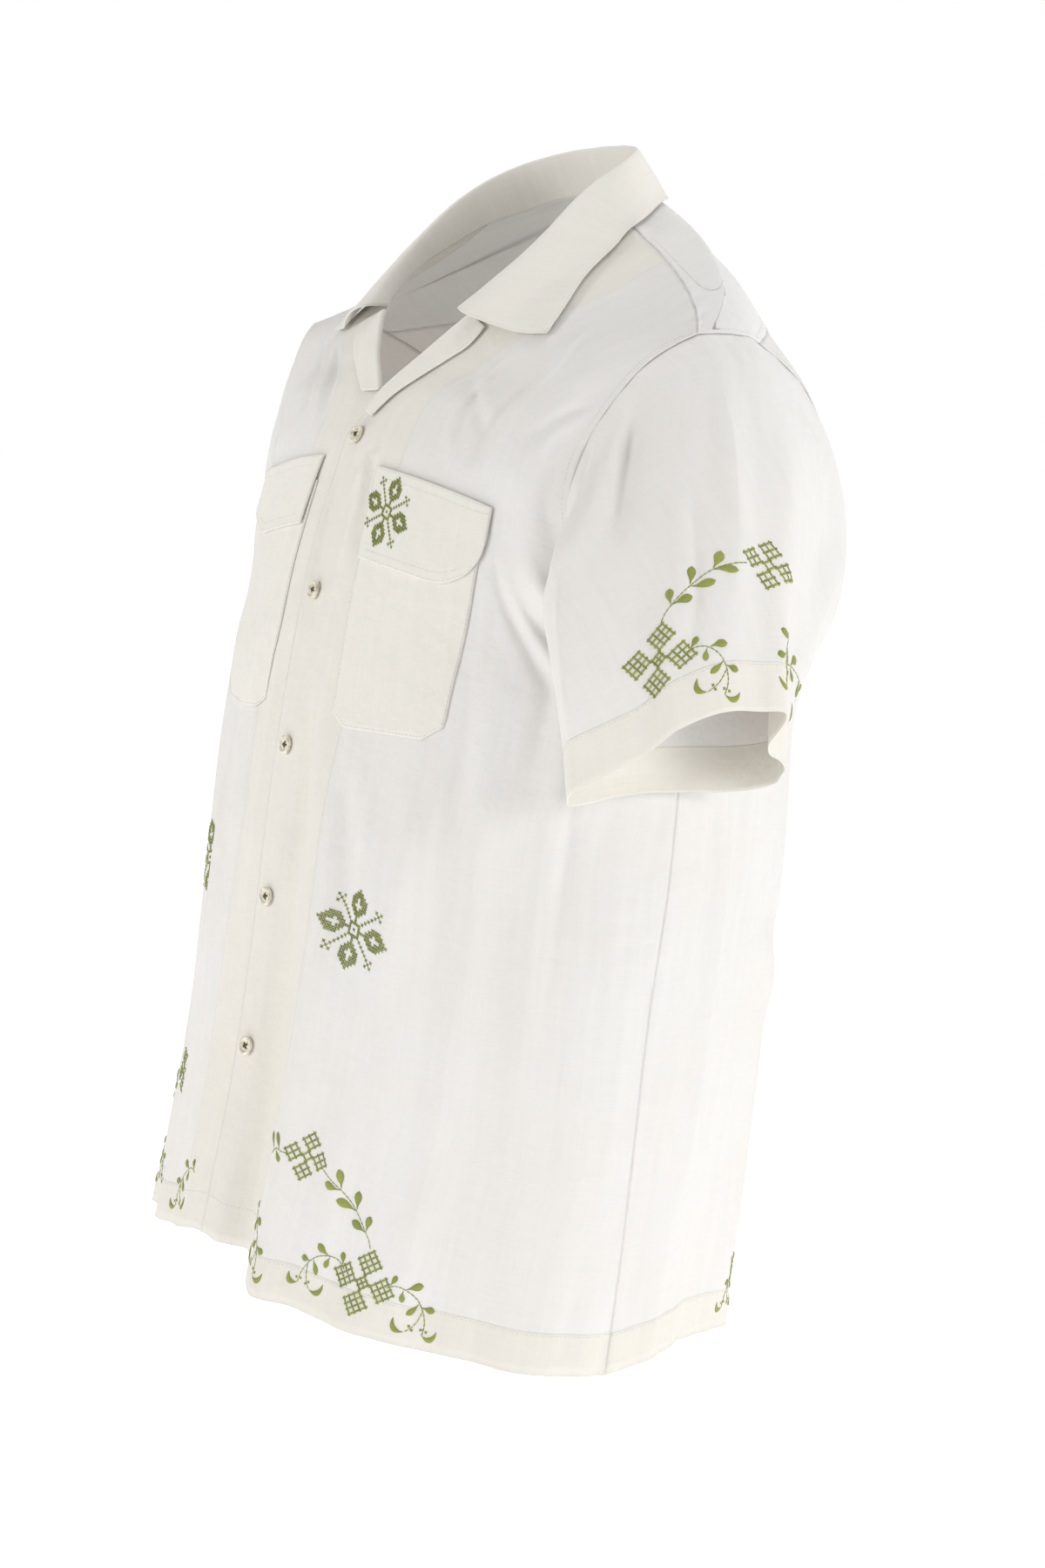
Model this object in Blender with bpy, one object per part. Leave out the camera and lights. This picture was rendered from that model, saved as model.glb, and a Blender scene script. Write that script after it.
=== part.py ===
"""Short-sleeved cotton shirt with an open collar, in the hollow form it has when a standing figure wears it.

Metres, +Z up. The wearer faces -Y and the wearer's left side is +X. The origin lies midway between the two
points where the shoulder seams meet the neck. The left arm hangs forward, and the right arm a little back.
"""

import bpy
import numpy as np

# Driving sizes, in metres
CLOTH = 0.0015
THIN_CLOTH = 0.0012
SEAM_GAP = 0.0003
LAYER_GAP = 0.0007
LAP = 0.016
UNDERLAP_DROP = 0.0027
LAPEL_LIFT = 0.0027
BUTTON_RADIUS = 0.0058
BUTTON_THICKNESS = 0.0026
BUTTON_LIFT = 0.0004

# Levels of the front and the back, counted up from the hem. The side seams end at the underarm level.
UNDERARM = 4
TOP_BUTTON = 7
VEE = 8
SHOULDER = 12
YOKE_SEAM = 9
NECK_BACK = 11
SHOULDER_BACK = 13

LINEN_WHITE = (0.83, 0.81, 0.74, 1.0)
HORN = (0.62, 0.58, 0.46, 1.0)


def table(columns, rows):
    """Named columns of numbers from short rows. The first entry of a row is its own name."""
    names = columns.split()
    values = np.array([row[1:] for row in rows], float)
    made = {name: values[:, i] for i, name in enumerate(names)}
    made["rows"] = [row[0] for row in rows]
    return made


# Each level runs from its inner point, at the centre or the neck, to its outer point, at the side or armhole.
# Sweep is the angle, in degrees, through which the level turns on its way.
FRONT = table(
    "inner_x inner_y inner_z outer_x left_y right_y outer_z sweep",
    [
        ("hem", 0.000, -0.225, -0.624, 0.240, -0.080, -0.080, -0.672, 90),
        ("hip", 0.000, -0.203, -0.535, 0.241, -0.067, -0.065, -0.574, 90),
        ("waist", 0.000, -0.187, -0.445, 0.243, -0.056, -0.052, -0.470, 90),
        ("rib", 0.000, -0.174, -0.355, 0.244, -0.042, -0.036, -0.370, 90),
        ("underarm", 0.000, -0.158, -0.268, 0.244, -0.032, -0.024, -0.268, 90),
        ("chest", 0.000, -0.142, -0.205, 0.228, -0.080, -0.056, -0.220, 72),
        ("flap", 0.000, -0.124, -0.148, 0.218, -0.094, -0.066, -0.176, 62),
        ("top button", 0.000, -0.117, -0.129, 0.217, -0.092, -0.066, -0.146, 60),
        ("vee", 0.003, -0.103, -0.104, 0.219, -0.080, -0.060, -0.118, 56),
        ("lapel", 0.034, -0.085, -0.076, 0.224, -0.065, -0.052, -0.096, 52),
        ("gorge", 0.063, -0.063, -0.049, 0.230, -0.051, -0.043, -0.080, 50),
        ("side of neck", 0.081, -0.028, -0.023, 0.237, -0.038, -0.034, -0.070, 48),
        ("shoulder", 0.086, 0.022, 0.003, 0.243, -0.025, -0.025, -0.063, 46),
    ],
)
BACK = table(
    "inner_x inner_y inner_z outer_x left_y right_y outer_z sweep",
    [
        ("hem", 0.000, 0.092, -0.680, 0.240, -0.080, -0.080, -0.672, 90),
        ("hip", 0.000, 0.106, -0.590, 0.241, -0.067, -0.065, -0.574, 90),
        ("waist", 0.000, 0.120, -0.490, 0.243, -0.056, -0.052, -0.470, 90),
        ("rib", 0.000, 0.134, -0.385, 0.244, -0.042, -0.036, -0.370, 90),
        ("underarm", 0.000, 0.139, -0.280, 0.244, -0.032, -0.024, -0.268, 90),
        ("low blade", 0.000, 0.140, -0.225, 0.235, 0.040, 0.050, -0.242, 76),
        ("blade", 0.000, 0.136, -0.175, 0.225, 0.076, 0.086, -0.198, 66),
        ("high blade", 0.000, 0.129, -0.128, 0.219, 0.085, 0.090, -0.147, 60),
        ("below yoke", 0.000, 0.119, -0.086, 0.222, 0.066, 0.068, -0.099, 56),
        ("yoke seam", 0.000, 0.109, -0.050, 0.233, 0.024, 0.024, -0.069, 52),
        ("middle yoke", 0.000, 0.096, -0.012, 0.238, 0.006, 0.006, -0.064, 50),
        ("back of neck", 0.000, 0.076, 0.022, 0.240, -0.008, -0.008, -0.063, 48),
        ("neck quarter", 0.054, 0.062, 0.019, 0.242, -0.017, -0.017, -0.063, 47),
        ("shoulder", 0.086, 0.022, 0.003, 0.243, -0.025, -0.025, -0.063, 46),
    ],
)

# How far the hem hangs below its level at the centres and the sides
HEM_DROP = table(
    "angle drop",
    [
        ("centre", 0.00, 0.000),
        ("pleat valley", 0.08, 0.002),
        ("pleat ridge", 0.17, 0.018),
        ("quarter", 0.35, 0.021),
        ("middle", 0.55, 0.019),
        ("flank", 0.80, 0.008),
        ("side seam", 1.00, 0.000),
        ("back flank", 1.25, -0.010),
        ("back middle", 1.50, -0.004),
        ("centre back", 2.00, 0.000),
    ],
)

# Large folds of the body. Angle is 0 at the centre front, 1 at the left side seam and 2 at the centre back,
# and below 0 on the wearer's right. Each fold runs between two levels, and a depth below 0 is a valley.
FOLDS = table(
    "low high angle_low angle_high width depth_low depth_high",
    [
        ("left pleat ridge", -1.0, 3.9, 0.175, 0.150, 0.055, 0.012, 0.003),
        ("left pleat valley", -1.0, 3.7, 0.085, 0.075, 0.045, -0.014, -0.002),
        ("right crease", -1.0, 4.7, -0.300, -0.200, 0.052, 0.005, 0.002),
        ("right valley", -1.0, 3.5, -0.410, -0.330, 0.060, -0.009, -0.002),
        ("right flank ridge", -1.0, 2.6, -0.550, -0.560, 0.070, 0.009, 0.002),
        ("left flank valley", -1.0, 3.4, 0.600, 0.520, 0.090, -0.012, -0.002),
        ("left flank ridge", -1.0, 3.2, 0.800, 0.760, 0.080, 0.008, 0.002),
        ("left side valley", -1.0, 3.0, 1.060, 1.000, 0.090, -0.008, -0.001),
        ("right side valley", -1.0, 3.2, -0.930, -0.900, 0.090, -0.009, -0.001),
        ("left back hollow", -1.0, 4.6, 1.280, 1.260, 0.110, -0.010, 0.002),
        ("left back ridge", -1.0, 5.4, 1.520, 1.460, 0.090, 0.006, 0.002),
        ("centre back ridge", -1.0, 4.0, 1.740, 1.760, 0.100, 0.009, 0.002),
        ("centre back valley", -1.0, 5.0, -1.880, -1.900, 0.080, -0.008, -0.002),
        ("right back ridge", -1.0, 4.8, -1.600, -1.640, 0.080, 0.009, 0.003),
        ("right back valley", -1.0, 4.6, -1.380, -1.420, 0.080, -0.009, -0.002),
        ("right back edge", -1.0, 3.4, -1.180, -1.200, 0.070, 0.007, 0.001),
        ("left blade drape", 3.6, 7.4, 1.620, 1.580, 0.200, 0.018, 0.008),
        ("right blade drape", 3.8, 7.2, -1.600, -1.560, 0.180, 0.012, 0.007),
        ("left chest ridge", 4.2, 9.6, 0.780, 0.800, 0.090, 0.009, 0.004),
        ("left collar bone", 8.0, 12.0, 0.420, 0.480, 0.250, -0.006, -0.006),
        ("right collar bone", 8.0, 12.0, -0.420, -0.480, 0.250, -0.006, -0.006),
        ("right chest crease", 4.6, 9.2, -0.620, -0.500, 0.070, 0.004, 0.003),
    ],
)

# Each sleeve is a tube from the armhole to a slanting hem ring.
SLEEVES = table(
    "side hem_x hem_y hem_z half_out half_front slant forward",
    [
        ("left", 1, 0.300, -0.066, -0.302, 0.056, 0.061, 31, 1.0),
        ("right", -1, 0.300, 0.020, -0.302, 0.056, 0.061, 31, 0.0),
    ],
)
# The way a sleeve leaves the armhole and reaches its hem, as shares of its length there
SLEEVE_STARTS = table(
    "out front down",
    [
        ("underarm", 0.70, 0.00, -0.15),
        ("front", 0.55, 0.30, 0.75),
        ("top", 0.80, 0.05, 0.62),
        ("back", 0.62, -0.10, 0.72),
        ("hem", 0.28, 0.12, 0.95),
    ],
)
# Folds along a sleeve. Turn is 0 at the underarm, 0.25 at the front and 0.5 at the top. Start and end are
# shares of the sleeve's length.
SLEEVE_FOLDS = table(
    "side turn_start turn_end width start end depth_start depth_end",
    [
        ("front swell", 1, 0.250, 0.200, 0.100, 0.05, 1.60, 0.024, 0.000),
        ("front ridge", 1, 0.320, 0.215, 0.040, 0.05, 1.50, 0.004, 0.008),
        ("front hem dent", 1, 0.360, 0.345, 0.035, 0.35, 1.50, -0.002, -0.009),
        ("outer crease", 1, 0.570, 0.585, 0.028, 0.15, 1.50, 0.004, 0.013),
        ("back dent", 1, 0.655, 0.650, 0.042, 0.20, 1.50, -0.004, -0.018),
        ("back ridge", 1, 0.790, 0.785, 0.045, 0.10, 1.50, 0.003, 0.006),
        ("cap drape", 1, 0.410, 0.330, 0.028, -0.10, 0.60, -0.004, -0.001),
        ("right front dent", -1, 0.310, 0.290, 0.050, 0.20, 1.50, -0.004, -0.009),
        ("right front ridge", -1, 0.200, 0.190, 0.050, 0.10, 1.50, 0.002, 0.007),
        ("right outer crease", -1, 0.440, 0.410, 0.035, 0.20, 1.50, 0.003, 0.006),
        ("right back dent", -1, 0.640, 0.670, 0.045, 0.15, 1.50, -0.004, -0.009),
        ("right back ridge", -1, 0.770, 0.790, 0.045, 0.10, 1.50, 0.004, 0.007),
        ("right cap drape", -1, 0.580, 0.640, 0.030, -0.10, 0.60, -0.004, -0.001),
    ],
)

# Half of the collar from the centre back to its front end: how far along the neck, where it rolls, its edge
COLLAR = table(
    "along roll_x roll_y roll_z edge_x edge_y edge_z",
    [
        ("centre back", 0.000, 0.000, 0.068, 0.051, 0.000, 0.088, 0.015),
        ("back quarter", 0.047, 0.040, 0.059, 0.049, 0.048, 0.078, 0.018),
        ("side back", 0.088, 0.067, 0.033, 0.039, 0.086, 0.043, 0.009),
        ("shoulder", 0.118, 0.075, 0.000, 0.020, 0.106, 0.007, -0.012),
        ("side of neck", 0.164, 0.077, -0.031, -0.010, 0.117, -0.021, -0.033),
        ("throat", 0.197, 0.071, -0.052, -0.033, 0.129, -0.041, -0.054),
        ("front end", 0.222, 0.061, -0.069, -0.049, 0.137, -0.056, -0.071),
    ],
)

# A lapel from its break to the gorge: its level at the roll, its level at the edge and the edge's x
LAPEL = table(
    "inner_level outer_level outer_x",
    [
        ("break", 7.60, 7.50, 0.008),
        ("low", 8.05, 8.00, 0.022),
        ("lower middle", 8.50, 8.42, 0.041),
        ("middle", 8.95, 8.80, 0.059),
        ("upper middle", 9.35, 9.12, 0.073),
        ("corner", 9.65, 9.40, 0.079),
        ("gorge", 9.84, 9.62, 0.081),
    ],
)

# A pocket and its flap on a front: level, and x of both sides
POCKET = table(
    "level inner_x outer_x",
    [
        ("bottom", 3.60, 0.049, 0.146),
        ("middle", 4.70, 0.044, 0.153),
        ("top", 5.80, 0.039, 0.157),
    ],
)
FLAP = table(
    "level inner_x outer_x",
    [
        ("bottom", 5.08, 0.044, 0.160),
        ("middle", 5.60, 0.041, 0.160),
        ("top", 6.10, 0.038, 0.160),
    ],
)
FLAP_CORNER = 0.62
FLAP_TILT = 0.20
RIGHT_FLAP_RISE = 0.25

BUTTON_HEIGHTS = (-0.129, -0.223, -0.318, -0.412, -0.505)
# Half of a button's section, from its axis to its rim and back: share of the radius, share of the thickness
BUTTON_SECTION = table(
    "radius height",
    [
        ("well", 0.00, 0.62),
        ("well edge", 0.60, 0.62),
        ("rim inside", 0.74, 0.98),
        ("rim top", 0.86, 1.00),
        ("rim side", 1.00, 0.72),
        ("girdle", 1.00, 0.38),
        ("back edge", 0.84, 0.02),
        ("back", 0.00, 0.00),
    ],
)

# Grid lines of the panels. Angles below 0 lie on the lap past the centre.
LAP_ANGLES = np.array([-1.0, -0.5])
ANGLES = np.array([0, 2.12, 4.24, 7, 10, 14, 18, 22, 28, 34, 40, 47, 54, 62, 70, 78, 86, 93, 100]) / 100
FRONT_LEVELS = np.concatenate([np.arange(0, 10, 0.5), np.arange(10, 12.1, 0.25)])
BACK_LEVELS = np.arange(0, 9.1, 0.5)
YOKE_LEVELS = np.concatenate([np.arange(9, 11, 0.5), np.arange(11, 13.1, 0.25)])
SLEEVE_RINGS = np.array([0, 0.05, 0.12, 0.21, 0.32, 0.44, 0.56, 0.68, 0.80, 0.91, 1.0])
LAP_IN_ANGLE = 0.0424
# How much of the hem's drop the right front has, and how far a sleeve's hem bends up at its outer and inner sides
RIGHT_HEM_SHARE = 0.35
HEM_BEND = 0.009


def unit(vectors):
    return vectors / np.linalg.norm(vectors, axis=-1, keepdims=True)


def eased(share):
    """0 below 0, 1 above 1, and a smooth step between."""
    share = np.clip(share, 0, 1)
    return share * share * (3 - 2 * share)


def between(values, at):
    """Values at places between whole rows, on a smooth curve through all the rows."""
    ends = [2 * values[0] - values[1]], [2 * values[-1] - values[-2]]
    padded = np.concatenate([ends[0], values, ends[1]])
    at = np.asarray(at, float)
    first = np.clip(np.floor(at).astype(int), 0, len(values) - 2)
    part = at - first
    a, b, c, d = (padded[first + i] for i in range(4))
    return b + part / 2 * (c - a + part * (2 * a - 5 * b + 4 * c - d + part * (3 * (b - c) + d - a)))


def parted(values, at):
    """Like between, with a corner at the underarm, so that both panels share the side seam below it."""
    low = between(values[: UNDERARM + 1], np.minimum(at, UNDERARM))
    high = between(values[UNDERARM:], np.maximum(at, UNDERARM) - UNDERARM)
    return np.where(np.asarray(at) > UNDERARM, high, low)


def inner_line(panel, level):
    """The inner ends of the levels. The back's neckline leaves the centre line square to it."""
    names = "inner_x", "inner_y", "inner_z"
    if panel is FRONT:
        return [between(panel[name], level) for name in names]
    line = []
    for name in names:
        column = panel[name]
        mirrored = -column[12] if name == "inner_x" else column[12]
        centre = between(column[: NECK_BACK + 1], np.minimum(level, NECK_BACK))
        neck = between(np.array([mirrored, *column[NECK_BACK:]]), np.maximum(level, NECK_BACK) - 10)
        line.append(np.where(level > NECK_BACK, neck, centre))
    return line


def fold_depth(angle, level):
    """How far the folds carry the cloth outwards."""
    depth = np.zeros(np.broadcast(angle, level).shape)
    for i in range(len(FOLDS["rows"])):
        low, high = FOLDS["low"][i], FOLDS["high"][i]
        share = np.clip((level - low) / (high - low), 0, 1)
        centre = FOLDS["angle_low"][i] * (1 - share) + FOLDS["angle_high"][i] * share
        aside = (angle - centre + 2) % 4 - 2
        height = FOLDS["depth_low"][i] * (1 - share) + FOLDS["depth_high"][i] * share
        ends = eased((level - low) / 0.8) * eased((high - level) / 0.8)
        depth += height * ends * np.exp(-((aside / FOLDS["width"][i]) ** 2))
    return depth


def panel_points(panel, side, angle, level):
    """Points of half a panel: each level is an arc of an ellipse from its inner to its outer end, with folds."""
    sweep = np.radians(parted(panel["sweep"], level))
    turn = np.clip(angle, 0, 1) * sweep
    across = np.sin(turn) / np.sin(sweep)
    away = (1 - np.cos(turn)) / (1 - np.cos(sweep))
    x, y, z = inner_line(panel, level)
    outer_y = parted(panel["left_y" if side > 0 else "right_y"], level)
    if panel is FRONT:
        straight = eased((level - VEE) / 4)
        rise = 0.9 * eased((level - 6) / 5)
    else:
        straight = eased((level - 8) / 5)
        rise = 0.9 * eased((level - 7) / 5)
    z = z + (parted(panel["outer_z"], level) - z) * (away + (across - away) * straight)
    place = angle if panel is FRONT else 2 - angle
    drop = np.interp(place, HEM_DROP["angle"], HEM_DROP["drop"])
    if panel is FRONT and side < 0:
        drop = drop * RIGHT_HEM_SHARE
    z = z - drop * (1 - eased(level / 2.5))
    x = x + (parted(panel["outer_x"], level) - x) * across
    y = y + (outer_y - y) * away
    on_lap = np.minimum(angle, 0)
    lap_left = 0.06 + 0.94 * (1 - eased((level - TOP_BUTTON) / 0.9))
    if panel is FRONT:
        x = x + on_lap * LAP * lap_left
        around = side * (np.clip(angle, 0, 1) + on_lap * LAP_IN_ANGLE * lap_left)
    else:
        around = side * (2 - angle)
    depth = fold_depth(around, level)
    if panel is FRONT and side < 0:
        depth = depth - UNDERLAP_DROP * (1 - eased(angle / 0.2)) * (1 - eased(level - VEE))
    way = around * np.pi / 2
    out = unit(np.stack(np.broadcast_arrays(np.sin(way), -np.cos(way), rise), -1))
    base = np.stack(np.broadcast_arrays(side * x, y, z), -1)
    return base + depth[..., None] * out


def across_grid(points):
    """Unit normals of a grid of points."""
    normals = np.cross(np.gradient(points, axis=1), np.gradient(points, axis=0))
    return unit(normals)


def grid_of(panel, side, angles, levels):
    points = panel_points(panel, side, angles[None, :], levels[:, None])
    return {"points": points, "normals": across_grid(points), "angles": angles, "levels": levels, "side": side}


def wall_of(grid, wall=CLOTH):
    """Half of the wall at each point of a grid, as a vector."""
    return grid["normals"] * wall / 2


def mitre(first, second):
    """Half walls of two edges that meet, turned to halve the corner between them."""
    flip = np.sign(np.sum(first * second, -1, keepdims=True))
    middle = unit(first + second * flip)
    length = np.linalg.norm(first, axis=-1, keepdims=True)
    cosine = np.sum(middle * unit(first), -1, keepdims=True)
    shared = middle * length / np.maximum(cosine, 0.75)
    return shared, shared * flip


def seat(edge, outwards, normal, way, half):
    """Where a piece starts that leaves an edge in another direction, clear of the edge's wall."""
    cosine = np.clip(np.sum(outwards * way, -1), -0.85, 1)
    sine = np.sqrt(1 - cosine**2)
    flat = SEAM_GAP + half * sine
    folded = (2 * half + SEAM_GAP + half * (np.abs(cosine) - 1)) / np.maximum(sine, 0.5) + 0.0002
    return edge + outwards * np.where(cosine > 0, flat, folded)[:, None]


def cloth(name, patches, colour, roughness=0.85):
    """A closed wall from grids of (points, half walls). Grids that share points are one piece."""
    points = np.concatenate([p.reshape(-1, 3) for p, _ in patches])
    halves = np.concatenate([h.reshape(-1, 3) for _, h in patches])
    quads, start = [], 0
    for p, _ in patches:
        rows, columns = p.shape[:2]
        index = start + np.arange(rows * columns).reshape(rows, columns)
        start += rows * columns
        corners = index[:-1, :-1], index[:-1, 1:], index[1:, 1:], index[1:, :-1]
        quads.append(np.stack([c.ravel() for c in corners], -1))
    keys = np.round(points * 1e6).astype(np.int64)
    _, first, same = np.unique(keys, axis=0, return_index=True, return_inverse=True)
    same = same.reshape(-1)
    quads = same[np.concatenate(quads)]
    count = np.bincount(same)[:, None]
    half = np.stack([np.bincount(same, weights=halves[:, i]) for i in range(3)], -1) / count
    points = points[first]
    total = len(points)
    edges = np.concatenate([quads[:, [i, (i + 1) % 4]] for i in range(4)])
    code = edges[:, 0].astype(np.int64) * total + edges[:, 1]
    back = edges[:, 1].astype(np.int64) * total + edges[:, 0]
    rim = edges[~np.isin(back, code)]
    sides = np.stack([rim[:, 1], rim[:, 0], rim[:, 0] + total, rim[:, 1] + total], -1)
    faces = np.concatenate([quads, quads[:, ::-1] + total, sides])
    return solid(name, np.concatenate([points + half, points - half]), faces, colour, roughness)


def solid(name, points, faces, colour, roughness):
    mesh = bpy.data.meshes.new(name)
    mesh.from_pydata(points.tolist(), [], [list(face) for face in faces])
    mesh.polygons.foreach_set("use_smooth", [True] * len(mesh.polygons))
    mesh.update()
    material = bpy.data.materials.new(name + "_material")
    material.use_nodes = True
    shader = material.node_tree.nodes["Principled BSDF"]
    shader.inputs["Base Color"].default_value = colour
    shader.inputs["Roughness"].default_value = roughness
    mesh.materials.append(material)
    made = bpy.data.objects.new(name, mesh)
    bpy.context.scene.collection.objects.link(made)
    return made


def angle_at(level, x):
    """The angle at which a level of the front reaches a distance x from the centre."""
    start = between(FRONT["inner_x"], level)
    end = parted(FRONT["outer_x"], level)
    sweep = np.radians(parted(FRONT["sweep"], level))
    return np.arcsin((x - start) / (end - start) * np.sin(sweep)) / sweep


def on_front(grid, angle, level, height):
    """Points over the flat faces of a front, moved outwards by a height."""
    angle, level = np.broadcast_arrays(angle, level)
    row = np.interp(level, grid["levels"], np.arange(len(grid["levels"])))
    column = np.interp(angle, grid["angles"], np.arange(len(grid["angles"])))
    i = np.minimum(row.astype(int), len(grid["levels"]) - 2)
    j = np.minimum(column.astype(int), len(grid["angles"]) - 2)
    a, b = (row - i)[..., None], (column - j)[..., None]
    made = []
    for values in (grid["points"], grid["normals"]):
        low = values[i, j] * (1 - b) + values[i, j + 1] * b
        made.append(low * (1 - a) + (values[i + 1, j] * (1 - b) + values[i + 1, j + 1] * b) * a)
    out = unit(made[1]) * grid["side"]
    return made[0] + out * np.asarray(height)[..., None]


def lifted(points, floor, floor_normals, clear):
    """Points moved out along the nearest normals until they clear the cloth below them."""
    flat = points.reshape(-1, 3)
    apart = flat[:, None, :] - floor[None]
    near = np.argmin(np.sum(apart * apart, -1), 1)
    height = np.sum((flat - floor[near]) * floor_normals[near], -1)
    short = np.maximum(clear.reshape(-1) - height, 0)
    return (flat + short[:, None] * floor_normals[near]).reshape(points.shape)


def sleeve_ways(turn, side, length):
    """How each line down a sleeve leaves the armhole, and how it reaches the hem."""
    low = np.maximum(np.cos(2 * np.pi * turn), 0) ** 2
    high = np.maximum(-np.cos(2 * np.pi * turn), 0) ** 2
    across = np.sin(2 * np.pi * turn)
    parts = low, np.maximum(across, 0) ** 2, high, np.maximum(-across, 0) ** 2
    forward = SLEEVE_STARTS["front"] * (SLEEVES["forward"][0] if side > 0 else SLEEVES["forward"][1])
    rows = np.stack([SLEEVE_STARTS["out"] * side, -forward, -SLEEVE_STARTS["down"]], -1)
    start = sum(part[:, None] * rows[i] for i, part in enumerate(parts))
    return start * length[:, None], rows[4] * length[:, None]


def sleeve_fold(side, turn, along):
    depth = np.zeros(np.broadcast(turn, along).shape)
    for i in range(len(SLEEVE_FOLDS["rows"])):
        if SLEEVE_FOLDS["side"][i] != side:
            continue
        start, end = SLEEVE_FOLDS["start"][i], SLEEVE_FOLDS["end"][i]
        share = np.clip((along - start) / (end - start), 0, 1)
        centre = SLEEVE_FOLDS["turn_start"][i] * (1 - share) + SLEEVE_FOLDS["turn_end"][i] * share
        aside = (turn - centre + 0.5) % 1 - 0.5
        height = SLEEVE_FOLDS["depth_start"][i] * (1 - share) + SLEEVE_FOLDS["depth_end"][i] * share
        ends = eased((along - start) / 0.3) * eased((end - along) / 0.3) * eased(along / 0.15)
        depth += height * ends * np.exp(-((aside / SLEEVE_FOLDS["width"][i]) ** 2))
    return depth


def armhole_of(front, yoke, back):
    """The ring of edge points round an armhole with their normals, from the underarm over the front."""
    first = int(np.searchsorted(FRONT_LEVELS, UNDERARM))
    ring, normals = [], []
    for key, made in (("points", ring), ("normals", normals)):
        made.append(front[key][first:, -1] * 1.0)
        made.append(yoke[key][::-1, -1][1:] * (-1.0 if key == "normals" else 1.0))
        made.append(back[key][first:, -1][::-1][1:-1] * (-1.0 if key == "normals" else 1.0))
    ring, normals = np.concatenate(ring), np.concatenate(normals) * front["side"]
    normals = unit(np.roll(normals, 1, 0) + 2 * normals + np.roll(normals, -1, 0))
    return ring, normals, len(FRONT_LEVELS) - first - 1


def sleeve_grid(front, yoke, back, row):
    """A sleeve as lines that leave the armhole one way and reach the slanting hem ring another, with folds."""
    side = SLEEVES["side"][row]
    ring, normals, tip = armhole_of(front, yoke, back)
    steps = np.linalg.norm(np.roll(ring, -1, 0) - ring, axis=-1)
    reached = np.concatenate([[0], np.cumsum(steps)])
    turn = np.interp(reached, [0, reached[tip], reached[-1]], [0, 0.5, 1])[:-1]
    slant = np.radians(SLEEVES["slant"][row])
    out = np.array([side * np.cos(slant), 0, np.sin(slant)])
    radial = -np.cos(2 * np.pi * turn)[:, None] * out * SLEEVES["half_out"][row]
    radial[:, 1] -= np.sin(2 * np.pi * turn) * SLEEVES["half_front"][row]
    centre = np.array([side * SLEEVES["hem_x"][row], SLEEVES["hem_y"][row], SLEEVES["hem_z"][row]])
    hem = centre + radial
    hem[:, 2] += HEM_BEND * (np.cos(4 * np.pi * turn) - 0.3)
    start_way, end_way = sleeve_ways(turn, side, np.linalg.norm(hem - ring, axis=-1) * 1.15)
    along = np.roll(ring, -1, 0) - np.roll(ring, 1, 0)
    outwards = unit(np.cross(along, normals))
    middle = ring.mean(0) + np.array([0.1 * side, 0, 0])
    outwards *= np.sign(np.sum(outwards * (middle - ring), -1, keepdims=True))
    ring = seat(ring, outwards, normals, unit(start_way), CLOTH / 2)
    s = SLEEVE_RINGS[:, None, None]
    points = ring * (1 + 2 * s) * (1 - s) ** 2 + start_way * s * (1 - s) ** 2
    points = points + hem * s * s * (3 - 2 * s) - end_way * s * s * (1 - s)
    points = points + unit(radial) * sleeve_fold(side, turn[None, :], SLEEVE_RINGS[:, None])[..., None]
    wrapped = np.concatenate([points[:, -1:], points, points[:, :2]], 1)
    normals = across_grid(wrapped)[:, 1:-1]
    return {"points": wrapped[:, 1:-1], "normals": normals}


def neck_edge(front, yoke):
    """The neckline of one half from the centre back to the gorge, with outward normals."""
    back = int(np.searchsorted(YOKE_LEVELS, NECK_BACK))
    end = int(np.searchsorted(FRONT_LEVELS, 10))
    line = np.concatenate([yoke["points"][back:-1, 0], front["points"][end:, 0][::-1]])
    normals = np.concatenate([-yoke["normals"][back:-1, 0], front["normals"][end:, 0][::-1]])
    return line, normals * front["side"]


def collar_grid(front, yoke, floor, floor_normals):
    """Half of the collar: across it each line is a parabola over the roll, from the neck seam to the free edge."""
    side = front["side"]
    edge, normals = neck_edge(front, yoke)
    steps = np.linalg.norm(np.diff(edge, axis=0), axis=-1)
    reached = np.concatenate([[0], np.cumsum(steps)])
    reached *= COLLAR["along"][-1] / reached[-1]
    at = np.interp(reached, COLLAR["along"], np.arange(7))
    roll = np.stack([between(COLLAR[name], at) for name in ("roll_x", "roll_y", "roll_z")], -1)
    free = np.stack([between(COLLAR[name], at) for name in ("edge_x", "edge_y", "edge_z")], -1)
    roll[:, 0] *= side
    free[:, 0] *= side
    outwards = beside(edge, normals)
    outwards[0] = unit(outwards[0] * np.array([0, 1, 1]))
    seam = seat(edge, outwards, normals, unit(roll - edge), CLOTH / 2)
    stand = np.linalg.norm(roll - seam, axis=-1, keepdims=True)
    share = stand / (stand + np.linalg.norm(free - roll, axis=-1, keepdims=True))
    top = (roll - (1 - share) ** 2 * seam - share**2 * free) / (2 * share * (1 - share))
    w = np.array([0, 0.08, 0.17, 0.27, 0.38, 0.5, 0.64, 0.8, 1])[:, None, None]
    points = (1 - w) ** 2 * seam + 2 * w * (1 - w) * top + w * w * free
    clear = np.broadcast_to((CLOTH + LAYER_GAP) * 2.2 * eased((w[..., 0] - 0.3) / 0.2), points.shape[:2])
    leaf = lifted(points, floor, floor_normals, clear)
    points = np.where(w > 0.3, leaf, points)
    points[:, 0, 0] = 0
    return {"points": points, "normals": across_grid(points)}


def beside(line, normals):
    """Directions across the neckline, in the cloth and towards the neck."""
    out = unit(np.cross(np.gradient(line, axis=0), normals))
    return out * np.sign(np.sum(out * (np.array([0, 0, 0.03]) - line), -1, keepdims=True))


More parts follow.
